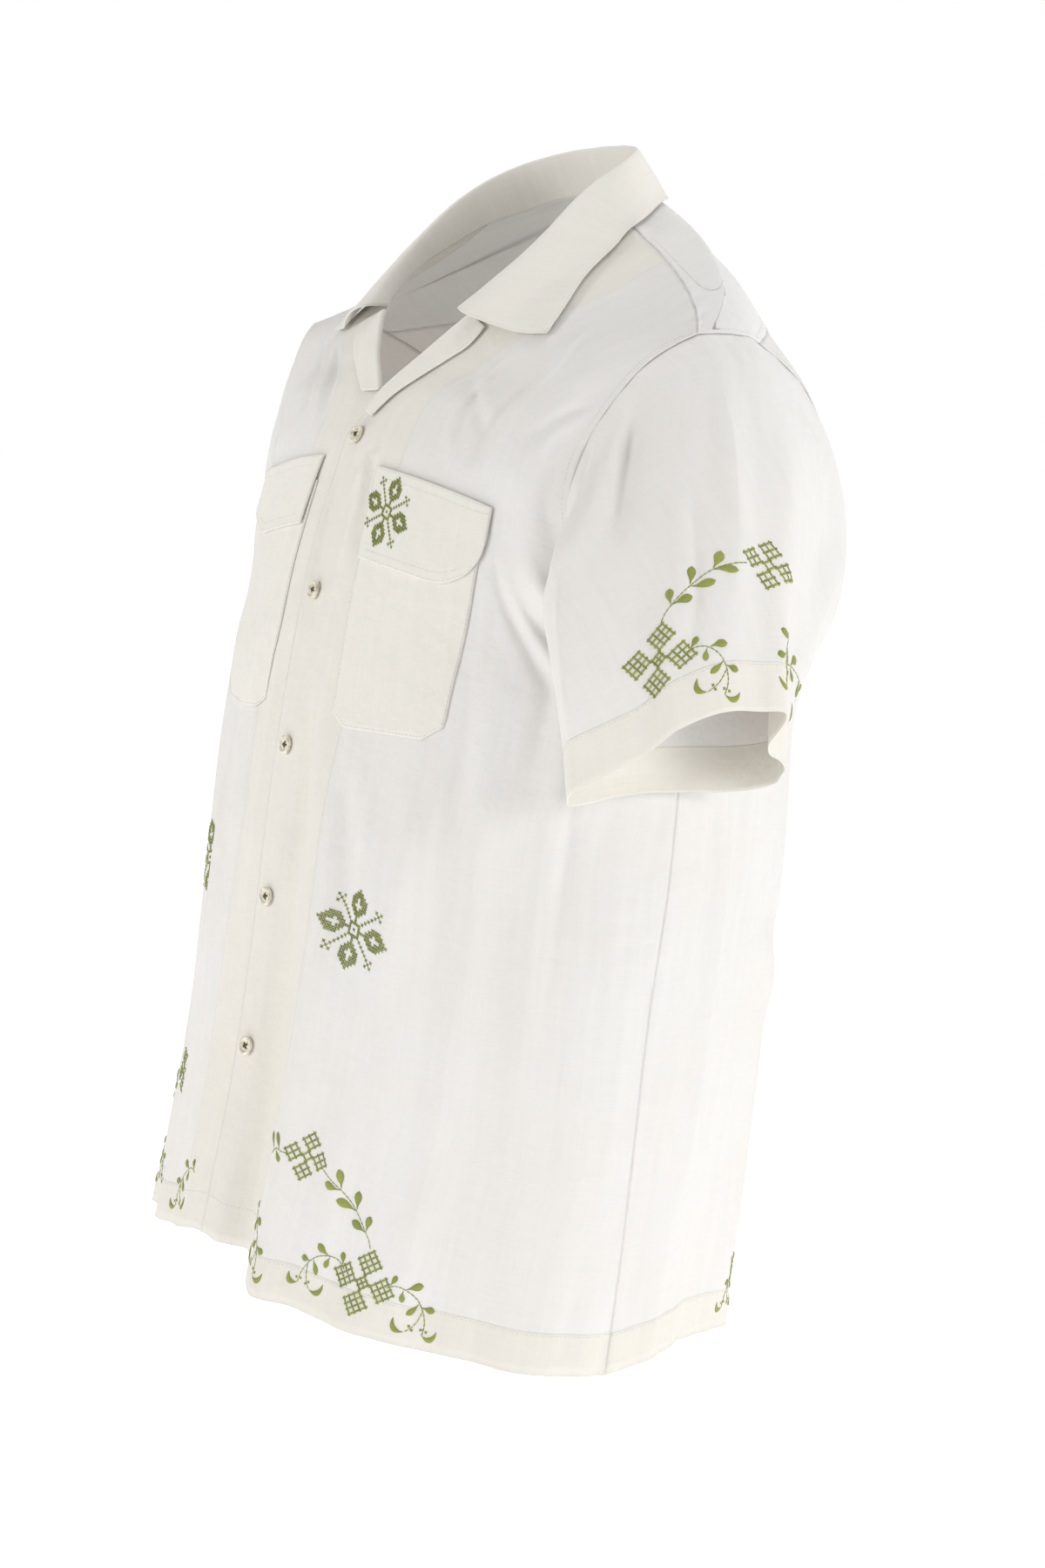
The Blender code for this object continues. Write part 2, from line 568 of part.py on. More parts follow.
def lapel_grid(front, start):
    """A lapel over the front, from the roll line at its inner side to its outer edge."""
    at = np.linspace(start, 6, 10)[:, None]
    across = np.array([0, 0.25, 0.5, 0.75, 1])[None, :]
    low, high = between(LAPEL["inner_level"], at), between(LAPEL["outer_level"], at)
    level = low + (high - low) * across
    inner_x = between(FRONT["inner_x"], level)
    x = inner_x + (between(LAPEL["outer_x"], at) - inner_x) * across
    points = on_front(front, angle_at(level, x), level, np.full(x.shape, LAPEL_LIFT))
    return {"points": points, "normals": across_grid(points)}


def pocket_grid(front):
    along = np.linspace(0, 1, 11)[:, None]
    across = np.linspace(0, 1, 9)[None, :]
    at = along * 2
    cut = 0.10 * (1 - eased(along / 0.08)) * np.maximum(np.abs(across * 2 - 1) - 0.7, 0) / 0.3
    level = between(POCKET["level"], at) + cut
    inner, outer = between(POCKET["inner_x"], at), between(POCKET["outer_x"], at)
    height = (CLOTH + THIN_CLOTH) / 2 + LAYER_GAP
    points = on_front(front, angle_at(level, inner + (outer - inner) * across), level, height)
    return {"points": points, "normals": across_grid(points)}


def flap_grid(front):
    """The flap hangs from its top seam, and its outer corner is rounded."""
    down = np.linspace(1, 0, 8)[:, None]
    across = np.array([0, 0.14, 0.28, 0.42, 0.56, 0.68, 0.78, 0.87, 0.94, 1])[None, :]
    bend = np.clip((across - FLAP_CORNER) / (1 - FLAP_CORNER), 0, 1)
    depth = 1 - 0.62 * (1 - np.sqrt(1 - bend * bend))
    at = 2 * (1 - down * depth)
    level = between(FLAP["level"], at) - FLAP_TILT * across
    if front["side"] < 0:
        level = level + RIGHT_FLAP_RISE * (0.5 + 0.5 * down)
    inner, outer = between(FLAP["inner_x"], at), between(FLAP["outer_x"], at)
    height = CLOTH / 2 + THIN_CLOTH * 1.5 + 2 * LAYER_GAP + 0.0006 * down
    points = on_front(front, angle_at(level, inner + (outer - inner) * across), level, height)
    return {"points": points, "normals": across_grid(points)}


def button(name, front, height):
    """A turned button with a rim and four holes, seated on the front."""
    levels = np.linspace(0, VEE, 400)
    heights = between(FRONT["inner_z"], levels)
    level = float(np.interp(height, heights, levels))
    rise = float(np.interp(height, heights, np.gradient(heights, levels)))
    circle = np.linspace(0, 2 * np.pi, 24, endpoint=False)
    ring_angle = BUTTON_RADIUS * np.cos(circle) / LAP * LAP_IN_ANGLE
    ring_angle = np.where(ring_angle < 0, ring_angle / LAP_IN_ANGLE, ring_angle)
    under = on_front(front, ring_angle, level + BUTTON_RADIUS * np.sin(circle) / rise, 0)
    centre = under.mean(0)
    normal = unit(np.cross(under[6] - under[18], under[0] - under[12]))
    normal = normal * -np.sign(normal[1])
    lift = np.max((under - centre) @ normal) + CLOTH / 2 + BUTTON_LIFT
    side = unit(np.cross(np.array([0, 0, 1.0]), normal))
    up = np.cross(normal, side)
    rings = [centre + normal * (lift + BUTTON_THICKNESS * h) + np.zeros((1, 3)) + BUTTON_RADIUS * r
             * (np.cos(circle)[:, None] * side + np.sin(circle)[:, None] * up)
             for r, h in zip(BUTTON_SECTION["radius"], BUTTON_SECTION["height"]) if r > 0]
    points = np.concatenate(rings + [[centre + normal * (lift + BUTTON_THICKNESS * 0.62)],
                                     [centre + normal * lift]])
    faces, last = [], len(rings) - 1
    for i in range(24):
        k = (i + 1) % 24
        faces.append((len(points) - 2, i, k))
        faces.append((len(points) - 1, last * 24 + k, last * 24 + i))
        faces += [(j * 24 + i, (j + 1) * 24 + i, (j + 1) * 24 + k, j * 24 + k) for j in range(last)]
    solid(name, points, faces, HORN, 0.3)


def main():
    for old in list(bpy.data.objects):
        bpy.data.objects.remove(old)
    fronts, yokes, backs, sleeves = {}, {}, {}, {}
    for side in (1, -1):
        fronts[side] = grid_of(FRONT, side, np.concatenate([LAP_ANGLES, ANGLES]), FRONT_LEVELS)
        yokes[side] = grid_of(BACK, side, ANGLES, YOKE_LEVELS)
        backs[side] = grid_of(BACK, side, ANGLES, BACK_LEVELS)
        sleeves[side] = sleeve_grid(fronts[side], yokes[side], backs[side], 0 if side > 0 else 1)
    floor = np.concatenate([g["points"].reshape(-1, 3) for g in fine_grids()])
    floor_normals = np.concatenate([g["normals"].reshape(-1, 3) for g in fine_grids()])
    collar = {side: collar_grid(fronts[side], yokes[side], floor, floor_normals) for side in (1, -1)}
    for side, word in ((1, "left"), (-1, "right")):
        front = fronts[side]
        pieces = {
            "pocket_": (pocket_grid(front), THIN_CLOTH),
            "flap_": (flap_grid(front), THIN_CLOTH),
            "lapel_": (lapel_grid(front, 0.0 if side > 0 else 1.15), CLOTH),
            "sleeve_": (sleeves[side], CLOTH),
        }
        for start, (grid, wall) in pieces.items():
            cloth(start + word, [(grid["points"], wall_of(grid, wall))], LINEN_WHITE)
    for i, height in enumerate(BUTTON_HEIGHTS):
        button(f"button_{i + 1}", fronts[1], height)
    sew_body(fronts, yokes, backs)
    for name, halves in (("yoke", yokes), ("back", backs), ("collar", collar)):
        patches = []
        for side in (1, -1):
            wall = halves[side].get("wall", wall_of(halves[side]))
            points = halves[side]["points"]
            patches.append((points[:, ::-1], -wall[:, ::-1]) if side > 0 else (points, wall))
        cloth(name, patches, LINEN_WHITE)
    for side, word in ((1, "left"), (-1, "right")):
        cloth("front_" + word, [(fronts[side]["points"], fronts[side]["wall"])], LINEN_WHITE)


def fine_grids():
    """Close grids of the fronts and the yoke with outward normals, for what rests on them."""
    across = np.linspace(0, 1, 45)
    made = []
    for side in (1, -1):
        front = grid_of(FRONT, side, across, np.linspace(7, 12, 41))
        yoke = grid_of(BACK, side, across, np.linspace(9, 13, 33))
        front["normals"] = front["normals"] * side
        yoke["normals"] = yoke["normals"] * -side
        made += [front, yoke]
    return made


def sew_body(fronts, yokes, backs):
    """Gives each panel its walls, halves the corners along the seams and leaves the gap between the edges."""
    lap = len(LAP_ANGLES)
    seam = int(np.searchsorted(FRONT_LEVELS, UNDERARM)) + 1
    for side in (1, -1):
        front, yoke, back = fronts[side], yokes[side], backs[side]
        for grid in (front, yoke, back):
            grid["wall"] = wall_of(grid)
        joins = [
            (front, (slice(0, seam), -1), (slice(0, seam), -2), back, (slice(0, seam), -1), (slice(0, seam), -2)),
            (front, (-1, slice(lap, None)), (-2, slice(lap, None)), yoke, -1, -2),
            (back, -1, -2, yoke, 0, 1),
        ]
        for first, edge, line, second, other_edge, other_line in joins:
            walls = mitre(first["wall"][edge], second["wall"][other_edge])
            first["wall"][edge], second["wall"][other_edge] = walls
            for grid, at, towards in ((first, edge, line), (second, other_edge, other_line)):
                way = unit(grid["points"][towards] - grid["points"][at])
                grid["points"][at] = grid["points"][at] + way * (SEAM_GAP / 2 + 0.00005)
        front["points"][-1, :lap] += unit(front["points"][-2, :lap] - front["points"][-1, :lap]) * SEAM_GAP


main()
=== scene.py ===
"""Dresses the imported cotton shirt: every cloth piece is made again as a thin sheet with its creases, weave,
topstitching and embroidery, and the buttons get their holes and thread.

Metres, +Z up. The wearer faces -Y and the wearer's left side is +X.
"""

import bpy
import numpy as np
from mathutils import Matrix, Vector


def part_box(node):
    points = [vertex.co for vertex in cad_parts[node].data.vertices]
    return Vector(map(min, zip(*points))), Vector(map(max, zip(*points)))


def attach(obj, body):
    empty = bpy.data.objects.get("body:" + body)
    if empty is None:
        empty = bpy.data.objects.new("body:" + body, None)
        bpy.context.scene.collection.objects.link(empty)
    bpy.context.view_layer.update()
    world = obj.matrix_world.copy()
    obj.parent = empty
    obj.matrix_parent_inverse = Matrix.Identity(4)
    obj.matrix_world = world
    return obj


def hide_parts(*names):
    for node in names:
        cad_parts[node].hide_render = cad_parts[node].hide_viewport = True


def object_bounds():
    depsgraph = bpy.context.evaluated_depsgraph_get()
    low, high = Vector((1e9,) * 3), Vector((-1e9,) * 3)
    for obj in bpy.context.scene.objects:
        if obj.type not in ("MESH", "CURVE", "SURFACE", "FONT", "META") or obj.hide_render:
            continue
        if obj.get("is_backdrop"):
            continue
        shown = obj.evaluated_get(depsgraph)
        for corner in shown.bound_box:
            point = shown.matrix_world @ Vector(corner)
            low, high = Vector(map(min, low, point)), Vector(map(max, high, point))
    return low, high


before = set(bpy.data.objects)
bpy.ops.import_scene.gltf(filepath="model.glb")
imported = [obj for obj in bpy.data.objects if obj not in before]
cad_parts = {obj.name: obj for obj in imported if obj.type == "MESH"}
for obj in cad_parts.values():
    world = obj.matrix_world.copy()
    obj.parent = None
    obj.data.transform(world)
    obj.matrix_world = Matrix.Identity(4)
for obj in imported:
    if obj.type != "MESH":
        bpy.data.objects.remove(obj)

bl_info = {
    "name": "Cotton Shirt Dresser",
    "version": (1, 0, 0),
    "blender": (4, 5, 0),
    "location": "3D View > Sidebar > Shirt",
    "description": "Makes the cloth, stitching, buttons and embroidery of a short-sleeved shirt",
    "category": "Object",
}

# The part's own sizes, levels and tables, which the sheets follow. Levels count the rows of FRONT and BACK from the
# hem up. An angle is 0 at the centre front, 1 at the side seam and 2 at the centre back. In the tables of folds and
# creases it is below 0 on the wearer's right.
LAYER_GAP = 0.0007
CLOTH = 0.0015
LAP = 0.016
UNDERLAP_DROP = 0.0027
LAPEL_LIFT = 0.0027
UNDERARM = 4
TOP_BUTTON = 7
VEE = 8
YOKE_SEAM = 9
NECK_BACK = 11
FRONT_TOP = 12
BACK_TOP = 13
LAP_IN_ANGLE = 0.0424
RIGHT_HEM_SHARE = 0.35
HEM_BEND = 0.009
RIGHT_FLAP_RISE = 0.25
BUTTONS = 5

# Rough lengths in metres, which turn angles, turns and levels into distances on the cloth
QUARTER_GIRTH = 0.31
UPPER_QUARTER = 0.21
LOWER_QUARTER = 0.33
LEVEL_STEP = 0.04
RISE_LEVELS, RISES = (0, 4, 13), (0, 0.36, 0.80)
SLEEVE_GIRTH = 0.42
SLEEVE_LENGTH = 0.25
SEAM_REACH = 0.007
SEAM_DIP = 0.003
SLEEVE_PULL = 1.15
SLEEVE_INSET = 0.0018
NECK_MIDDLE = np.array([0, 0, 0.03])
NEWTON_STEPS = 9


def table(columns, rows):
    """Named columns of numbers from short rows. The first entry of a row is its own name."""
    names = columns.split()
    values = np.array([row[1:] for row in rows], float)
    made = {name: values[:, i] for i, name in enumerate(names)}
    made["rows"] = [row[0] for row in rows]
    return made


def entries(made, side=None):
    """The rows of a table by the names of their columns, those of one side alone if it is given."""
    names = [name for name in made if name != "rows"]
    rows = [{name: made[name][i] for name in names} for i in range(len(made["rows"]))]
    return [row for row in rows if side is None or row["side"] == side]


FRONT = table(
    "inner_x inner_y inner_z outer_x left_y right_y outer_z sweep",
    [
        ("hem", 0.000, -0.225, -0.624, 0.240, -0.080, -0.080, -0.672, 90),
        ("hip", 0.000, -0.203, -0.535, 0.241, -0.067, -0.065, -0.574, 90),
        ("waist", 0.000, -0.187, -0.445, 0.243, -0.056, -0.052, -0.470, 90),
        ("rib", 0.000, -0.174, -0.355, 0.244, -0.042, -0.036, -0.370, 90),
        ("underarm", 0.000, -0.158, -0.268, 0.244, -0.032, -0.024, -0.268, 90),
        ("chest", 0.000, -0.142, -0.205, 0.228, -0.080, -0.056, -0.220, 72),
        ("flap", 0.000, -0.124, -0.148, 0.218, -0.094, -0.066, -0.176, 62),
        ("top button", 0.000, -0.117, -0.129, 0.217, -0.092, -0.066, -0.146, 60),
        ("vee", 0.003, -0.103, -0.104, 0.219, -0.080, -0.060, -0.118, 56),
        ("lapel", 0.034, -0.085, -0.076, 0.224, -0.065, -0.052, -0.096, 52),
        ("gorge", 0.063, -0.063, -0.049, 0.230, -0.051, -0.043, -0.080, 50),
        ("side of neck", 0.081, -0.028, -0.023, 0.237, -0.038, -0.034, -0.070, 48),
        ("shoulder", 0.086, 0.022, 0.003, 0.243, -0.025, -0.025, -0.063, 46),
    ],
)
BACK = table(
    "inner_x inner_y inner_z outer_x left_y right_y outer_z sweep",
    [
        ("hem", 0.000, 0.092, -0.680, 0.240, -0.080, -0.080, -0.672, 90),
        ("hip", 0.000, 0.106, -0.590, 0.241, -0.067, -0.065, -0.574, 90),
        ("waist", 0.000, 0.120, -0.490, 0.243, -0.056, -0.052, -0.470, 90),
        ("rib", 0.000, 0.134, -0.385, 0.244, -0.042, -0.036, -0.370, 90),
        ("underarm", 0.000, 0.139, -0.280, 0.244, -0.032, -0.024, -0.268, 90),
        ("low blade", 0.000, 0.140, -0.225, 0.235, 0.040, 0.050, -0.242, 76),
        ("blade", 0.000, 0.136, -0.175, 0.225, 0.076, 0.086, -0.198, 66),
        ("high blade", 0.000, 0.129, -0.128, 0.219, 0.085, 0.090, -0.147, 60),
        ("below yoke", 0.000, 0.119, -0.086, 0.222, 0.066, 0.068, -0.099, 56),
        ("yoke seam", 0.000, 0.109, -0.050, 0.233, 0.024, 0.024, -0.069, 52),
        ("middle yoke", 0.000, 0.096, -0.012, 0.238, 0.006, 0.006, -0.064, 50),
        ("back of neck", 0.000, 0.076, 0.022, 0.240, -0.008, -0.008, -0.063, 48),
        ("neck quarter", 0.054, 0.062, 0.019, 0.242, -0.017, -0.017, -0.063, 47),
        ("shoulder", 0.086, 0.022, 0.003, 0.243, -0.025, -0.025, -0.063, 46),
    ],
)
HEM_DROP = table(
    "angle drop",
    [
        ("centre", 0.00, 0.000),
        ("pleat valley", 0.08, 0.002),
        ("pleat ridge", 0.17, 0.018),
        ("quarter", 0.35, 0.021),
        ("middle", 0.55, 0.019),
        ("flank", 0.80, 0.008),
        ("side seam", 1.00, 0.000),
        ("back flank", 1.25, -0.010),
        ("back middle", 1.50, -0.004),
        ("centre back", 2.00, 0.000),
    ],
)
FOLDS = table(
    "low high angle_low angle_high width depth_low depth_high",
    [
        ("left pleat ridge", -1.0, 3.9, 0.175, 0.150, 0.055, 0.012, 0.003),
        ("left pleat valley", -1.0, 3.7, 0.085, 0.075, 0.045, -0.014, -0.002),
        ("right crease", -1.0, 4.7, -0.300, -0.200, 0.052, 0.005, 0.002),
        ("right valley", -1.0, 3.5, -0.410, -0.330, 0.060, -0.009, -0.002),
        ("right flank ridge", -1.0, 2.6, -0.550, -0.560, 0.070, 0.009, 0.002),
        ("left flank valley", -1.0, 3.4, 0.600, 0.520, 0.090, -0.012, -0.002),
        ("left flank ridge", -1.0, 3.2, 0.800, 0.760, 0.080, 0.008, 0.002),
        ("left side valley", -1.0, 3.0, 1.060, 1.000, 0.090, -0.008, -0.001),
        ("right side valley", -1.0, 3.2, -0.930, -0.900, 0.090, -0.009, -0.001),
        ("left back hollow", -1.0, 4.6, 1.280, 1.260, 0.110, -0.010, 0.002),
        ("left back ridge", -1.0, 5.4, 1.520, 1.460, 0.090, 0.006, 0.002),
        ("centre back ridge", -1.0, 4.0, 1.740, 1.760, 0.100, 0.009, 0.002),
        ("centre back valley", -1.0, 5.0, -1.880, -1.900, 0.080, -0.008, -0.002),
        ("right back ridge", -1.0, 4.8, -1.600, -1.640, 0.080, 0.009, 0.003),
        ("right back valley", -1.0, 4.6, -1.380, -1.420, 0.080, -0.009, -0.002),
        ("right back edge", -1.0, 3.4, -1.180, -1.200, 0.070, 0.007, 0.001),
        ("left blade drape", 3.6, 7.4, 1.620, 1.580, 0.200, 0.018, 0.008),
        ("right blade drape", 3.8, 7.2, -1.600, -1.560, 0.180, 0.012, 0.007),
        ("left chest ridge", 4.2, 9.6, 0.780, 0.800, 0.090, 0.009, 0.004),
        ("left collar bone", 8.0, 12.0, 0.420, 0.480, 0.250, -0.006, -0.006),
        ("right collar bone", 8.0, 12.0, -0.420, -0.480, 0.250, -0.006, -0.006),
        ("right chest crease", 4.6, 9.2, -0.620, -0.500, 0.070, 0.004, 0.003),
    ],
)
SLEEVES = table(
    "side hem_x hem_y hem_z half_out half_front slant forward",
    [
        ("left", 1, 0.300, -0.066, -0.302, 0.056, 0.061, 31, 1.0),
        ("right", -1, 0.300, 0.020, -0.302, 0.056, 0.061, 31, 0.0),
    ],
)
SLEEVE_STARTS = table(
    "out front down",
    [
        ("underarm", 0.70, 0.00, -0.15),
        ("front", 0.55, 0.30, 0.75),
        ("top", 0.80, 0.05, 0.62),
        ("back", 0.62, -0.10, 0.72),
        ("hem", 0.28, 0.12, 0.95),
    ],
)
SLEEVE_FOLDS = table(
    "side turn_start turn_end width start end depth_start depth_end",
    [
        ("front swell", 1, 0.250, 0.200, 0.100, 0.05, 1.60, 0.024, 0.000),
        ("front ridge", 1, 0.320, 0.215, 0.040, 0.05, 1.50, 0.004, 0.008),
        ("front hem dent", 1, 0.360, 0.345, 0.035, 0.35, 1.50, -0.002, -0.009),
        ("outer crease", 1, 0.570, 0.585, 0.028, 0.15, 1.50, 0.004, 0.013),
        ("back dent", 1, 0.655, 0.650, 0.042, 0.20, 1.50, -0.004, -0.018),
        ("back ridge", 1, 0.790, 0.785, 0.045, 0.10, 1.50, 0.003, 0.006),
        ("cap drape", 1, 0.410, 0.330, 0.028, -0.10, 0.60, -0.004, -0.001),
        ("right front dent", -1, 0.310, 0.290, 0.050, 0.20, 1.50, -0.004, -0.009),
        ("right front ridge", -1, 0.200, 0.190, 0.050, 0.10, 1.50, 0.002, 0.007),
        ("right outer crease", -1, 0.440, 0.410, 0.035, 0.20, 1.50, 0.003, 0.006),
        ("right back dent", -1, 0.640, 0.670, 0.045, 0.15, 1.50, -0.004, -0.009),
        ("right back ridge", -1, 0.770, 0.790, 0.045, 0.10, 1.50, 0.004, 0.007),
        ("right cap drape", -1, 0.580, 0.640, 0.030, -0.10, 0.60, -0.004, -0.001),
    ],
)
COLLAR = table(
    "along roll_x roll_y roll_z edge_x edge_y edge_z",
    [
        ("centre back", 0.000, 0.000, 0.068, 0.051, 0.000, 0.088, 0.015),
        ("back quarter", 0.047, 0.040, 0.059, 0.049, 0.048, 0.078, 0.018),
        ("side back", 0.088, 0.067, 0.033, 0.039, 0.086, 0.043, 0.009),
        ("shoulder", 0.118, 0.075, 0.000, 0.020, 0.106, 0.007, -0.012),
        ("side of neck", 0.164, 0.077, -0.031, -0.010, 0.117, -0.021, -0.033),
        ("throat", 0.197, 0.071, -0.052, -0.033, 0.129, -0.041, -0.054),
        ("front end", 0.222, 0.061, -0.069, -0.049, 0.137, -0.056, -0.071),
    ],
)
LAPEL = table(
    "inner_level outer_level outer_x",
    [
        ("break", 7.60, 7.50, 0.008),
        ("low", 8.05, 8.00, 0.022),
        ("lower middle", 8.50, 8.42, 0.041),
        ("middle", 8.95, 8.80, 0.059),
        ("upper middle", 9.35, 9.12, 0.073),
        ("corner", 9.65, 9.40, 0.079),
        ("gorge", 9.84, 9.62, 0.081),
    ],
)
POCKET = table(
    "level inner_x outer_x",
    [
        ("bottom", 3.60, 0.049, 0.146),
        ("middle", 4.70, 0.044, 0.153),
        ("top", 5.80, 0.039, 0.157),
    ],
)
FLAP = table(
    "level inner_x outer_x",
    [
        ("bottom", 5.08, 0.044, 0.160),
        ("middle", 5.60, 0.041, 0.160),
        ("top", 6.10, 0.038, 0.160),
    ],
)
FLAP_CORNER = 0.62
FLAP_TILT = 0.20

# Small creases of the body: angle round it and level where each starts and ends, width and depth in metres
# (a depth below 0 is a trough), and how far its middle bows aside
CREASES = table(
    "angle_start level_start angle_end level_end width depth bow",
    [
        ("below left button", 0.06, 6.6, 0.10, 4.6, 0.006, 0.0012, 0.004),
        ("beside placket low", 0.07, 3.9, 0.05, 2.4, 0.007, -0.0014, 0.003),
        ("placket pull", 0.03, 5.6, 0.12, 6.7, 0.005, 0.0010, -0.003),
        ("below flap", 0.17, 3.5, 0.22, 2.0, 0.010, -0.0018, 0.006),
        ("below pocket", 0.36, 3.5, 0.30, 1.6, 0.009, 0.0014, 0.008),
        ("left long drape", 0.46, 4.6, 0.42, 0.3, 0.012, -0.0022, 0.006),
        ("left side drape", 0.70, 4.4, 0.70, 0.8, 0.010, 0.0020, -0.008),
        ("left side line", 0.64, 5.6, 0.60, 3.2, 0.008, -0.0016, 0.006),
        ("left underarm pull", 0.98, 4.2, 0.72, 5.6, 0.010, 0.0026, 0.010),
        ("left underarm trough", 0.98, 3.8, 0.66, 5.0, 0.009, -0.0022, 0.010),
        ("left chest drape", 0.60, 9.6, 0.50, 6.2, 0.009, -0.0018, 0.008),
        ("left chest line", 0.36, 9.4, 0.44, 6.6, 0.007, 0.0013, -0.006),
        ("below collar", 0.52, 10.4, 0.66, 8.6, 0.008, 0.0014, 0.006),
        ("collar bone crease", 0.30, 8.6, 0.56, 7.3, 0.007, -0.0012, 0.006),
        ("armhole pull", 0.96, 8.6, 0.70, 7.2, 0.008, -0.0018, -0.006),
        ("left hem bend", 0.30, 1.5, 0.27, 0.0, 0.010, 0.0016, 0.004),
        ("left hem ripple", 0.52, 1.2, 0.50, -0.1, 0.011, 0.0018, -0.004),
        ("right placket drape", -0.05, 6.2, -0.08, 3.8, 0.006, 0.0012, 0.004),
        ("right centre drape", -0.12, 5.2, -0.15, 2.0, 0.008, -0.0016, -0.005),
        ("right long drape", -0.50, 5.0, -0.52, 0.6, 0.012, -0.0022, 0.006),
        ("right pocket drape", -0.30, 3.5, -0.26, 1.4, 0.009, 0.0016, 0.006),
        ("right chest drape", -0.42, 9.4, -0.30, 6.8, 0.007, 0.0015, 0.008),
        ("right chest line", -0.56, 9.8, -0.44, 7.4, 0.007, -0.0015, 0.005),
        ("right armhole pull", -0.96, 7.8, -0.66, 6.6, 0.009, -0.0020, 0.006),
        ("right underarm pull", -0.98, 4.2, -0.70, 5.4, 0.010, 0.0024, -0.010),
        ("right side drape", -0.74, 4.2, -0.76, 1.0, 0.010, 0.0018, 0.006),
        ("right hem ripple", -0.66, 1.1, -0.64, -0.1, 0.011, 0.0016, 0.004),
        ("left seam drape", 1.14, 3.8, 1.16, 0.6, 0.009, 0.0018, 0.006),
        ("left back pull", 1.04, 4.2, 1.34, 5.8, 0.010, 0.0024, -0.010),
        ("left blade drape", 1.40, 8.2, 1.36, 5.4, 0.010, -0.0018, 0.008),
        ("left blade line", 1.62, 8.8, 1.58, 5.0, 0.009, 0.0015, -0.006),
        ("centre back pleat", 1.97, 8.9, 1.96, 5.6, 0.007, -0.0016, 0.003),
        ("centre back line", -1.96, 8.9, -1.95, 5.2, 0.007, 0.0014, -0.003),
        ("right blade line", -1.60, 8.7, -1.56, 4.8, 0.009, 0.0015, 0.006),
        ("right blade drape", -1.36, 8.0, -1.30, 5.2, 0.010, -0.0019, -0.008),
        ("right back pull", -1.04, 4.2, -1.32, 5.6, 0.010, 0.0022, 0.010),
        ("left waist sag", 1.30, 2.6, 1.56, 2.0, 0.012, 0.0014, 0.006),
        ("right waist sag", -1.26, 3.0, -1.54, 2.4, 0.012, -0.0014, -0.006),
        ("centre waist sag", 1.84, 1.9, -1.84, 1.5, 0.013, 0.0010, 0.006),
        ("left seat drape", 1.66, 2.6, 1.66, 0.1, 0.011, 0.0018, 0.004),
        ("right seat drape", -1.74, 2.4, -1.72, 0.0, 0.011, 0.0018, -0.004),
        ("left back hem bend", 1.40, 1.3, 1.42, -0.1, 0.010, 0.0015, 0.003),
        ("right back hem bend", -1.46, 1.4, -1.48, -0.1, 0.010, -0.0016, 0.003),
    ],
)
# Small creases of the sleeves: side, turn and share of the length where each starts and ends
SLEEVE_CREASES = table(
    "side turn_start along_start turn_end along_end width depth bow",
    [
        ("cap diagonal", 1, 0.42, 0.04, 0.34, 0.46, 0.007, -0.0022, 0.006),
        ("second diagonal", 1, 0.36, 0.02, 0.28, 0.40, 0.006, 0.0016, 0.006),
        ("long front drape", 1, 0.30, 0.30, 0.27, 0.98, 0.007, 0.0014, 0.005),
        ("outer front line", 1, 0.44, 0.30, 0.43, 0.95, 0.006, -0.0012, -0.005),
        ("outer line", 1, 0.50, 0.10, 0.52, 0.80, 0.007, 0.0014, 0.006),
        ("back cap drape", 1, 0.60, 0.04, 0.70, 0.60, 0.008, -0.0020, -0.007),
        ("back line", 1, 0.72, 0.20, 0.74, 0.95, 0.007, 0.0016, 0.005),
        ("underarm pull", 1, 0.06, 0.10, 0.16, 0.60, 0.009, 0.0020, 0.006),
        ("underarm back pull", 1, 0.94, 0.10, 0.86, 0.60, 0.009, -0.0020, 0.006),
        ("right cap diagonal", -1, 0.42, 0.04, 0.33, 0.50, 0.007, -0.0020, 0.006),
        ("right cap second", -1, 0.58, 0.04, 0.66, 0.52, 0.007, 0.0018, -0.006),
        ("right outer line", -1, 0.50, 0.12, 0.49, 0.84, 0.007, 0.0014, 0.005),
        ("right front line", -1, 0.36, 0.30, 0.37, 0.96, 0.006, 0.0014, -0.005),
        ("right back line", -1, 0.71, 0.24, 0.72, 0.96, 0.007, -0.0014, 0.005),
        ("right underarm pull", -1, 0.06, 0.10, 0.15, 0.58, 0.009, 0.0018, 0.006),
        ("right underarm back", -1, 0.94, 0.10, 0.84, 0.62, 0.009, -0.0018, 0.006),
    ],
)

# Grid lines of the sheets
LOW_LEVELS = np.linspace(0, UNDERARM, 64, endpoint=False)
CHEST_LEVELS = np.linspace(UNDERARM, YOKE_SEAM, 58, endpoint=False)
FRONT_LEVELS = np.concatenate([LOW_LEVELS, CHEST_LEVELS, np.linspace(YOKE_SEAM, FRONT_TOP, 37)])
BACK_LEVELS = np.concatenate([LOW_LEVELS, np.linspace(UNDERARM, YOKE_SEAM, 47)])
YOKE_LEVELS = np.linspace(YOKE_SEAM, BACK_TOP, 49)
LAP_ANGLES = np.linspace(-1, 0, 7)[:-1]
ANGLES = np.linspace(0, 1, 101)
SLEEVE_RINGS = np.linspace(0, 1, 84)


def metres(name, description, value):
    """A length in the panel."""
    return bpy.props.FloatProperty(name=name, description=description, default=value, unit="LENGTH")


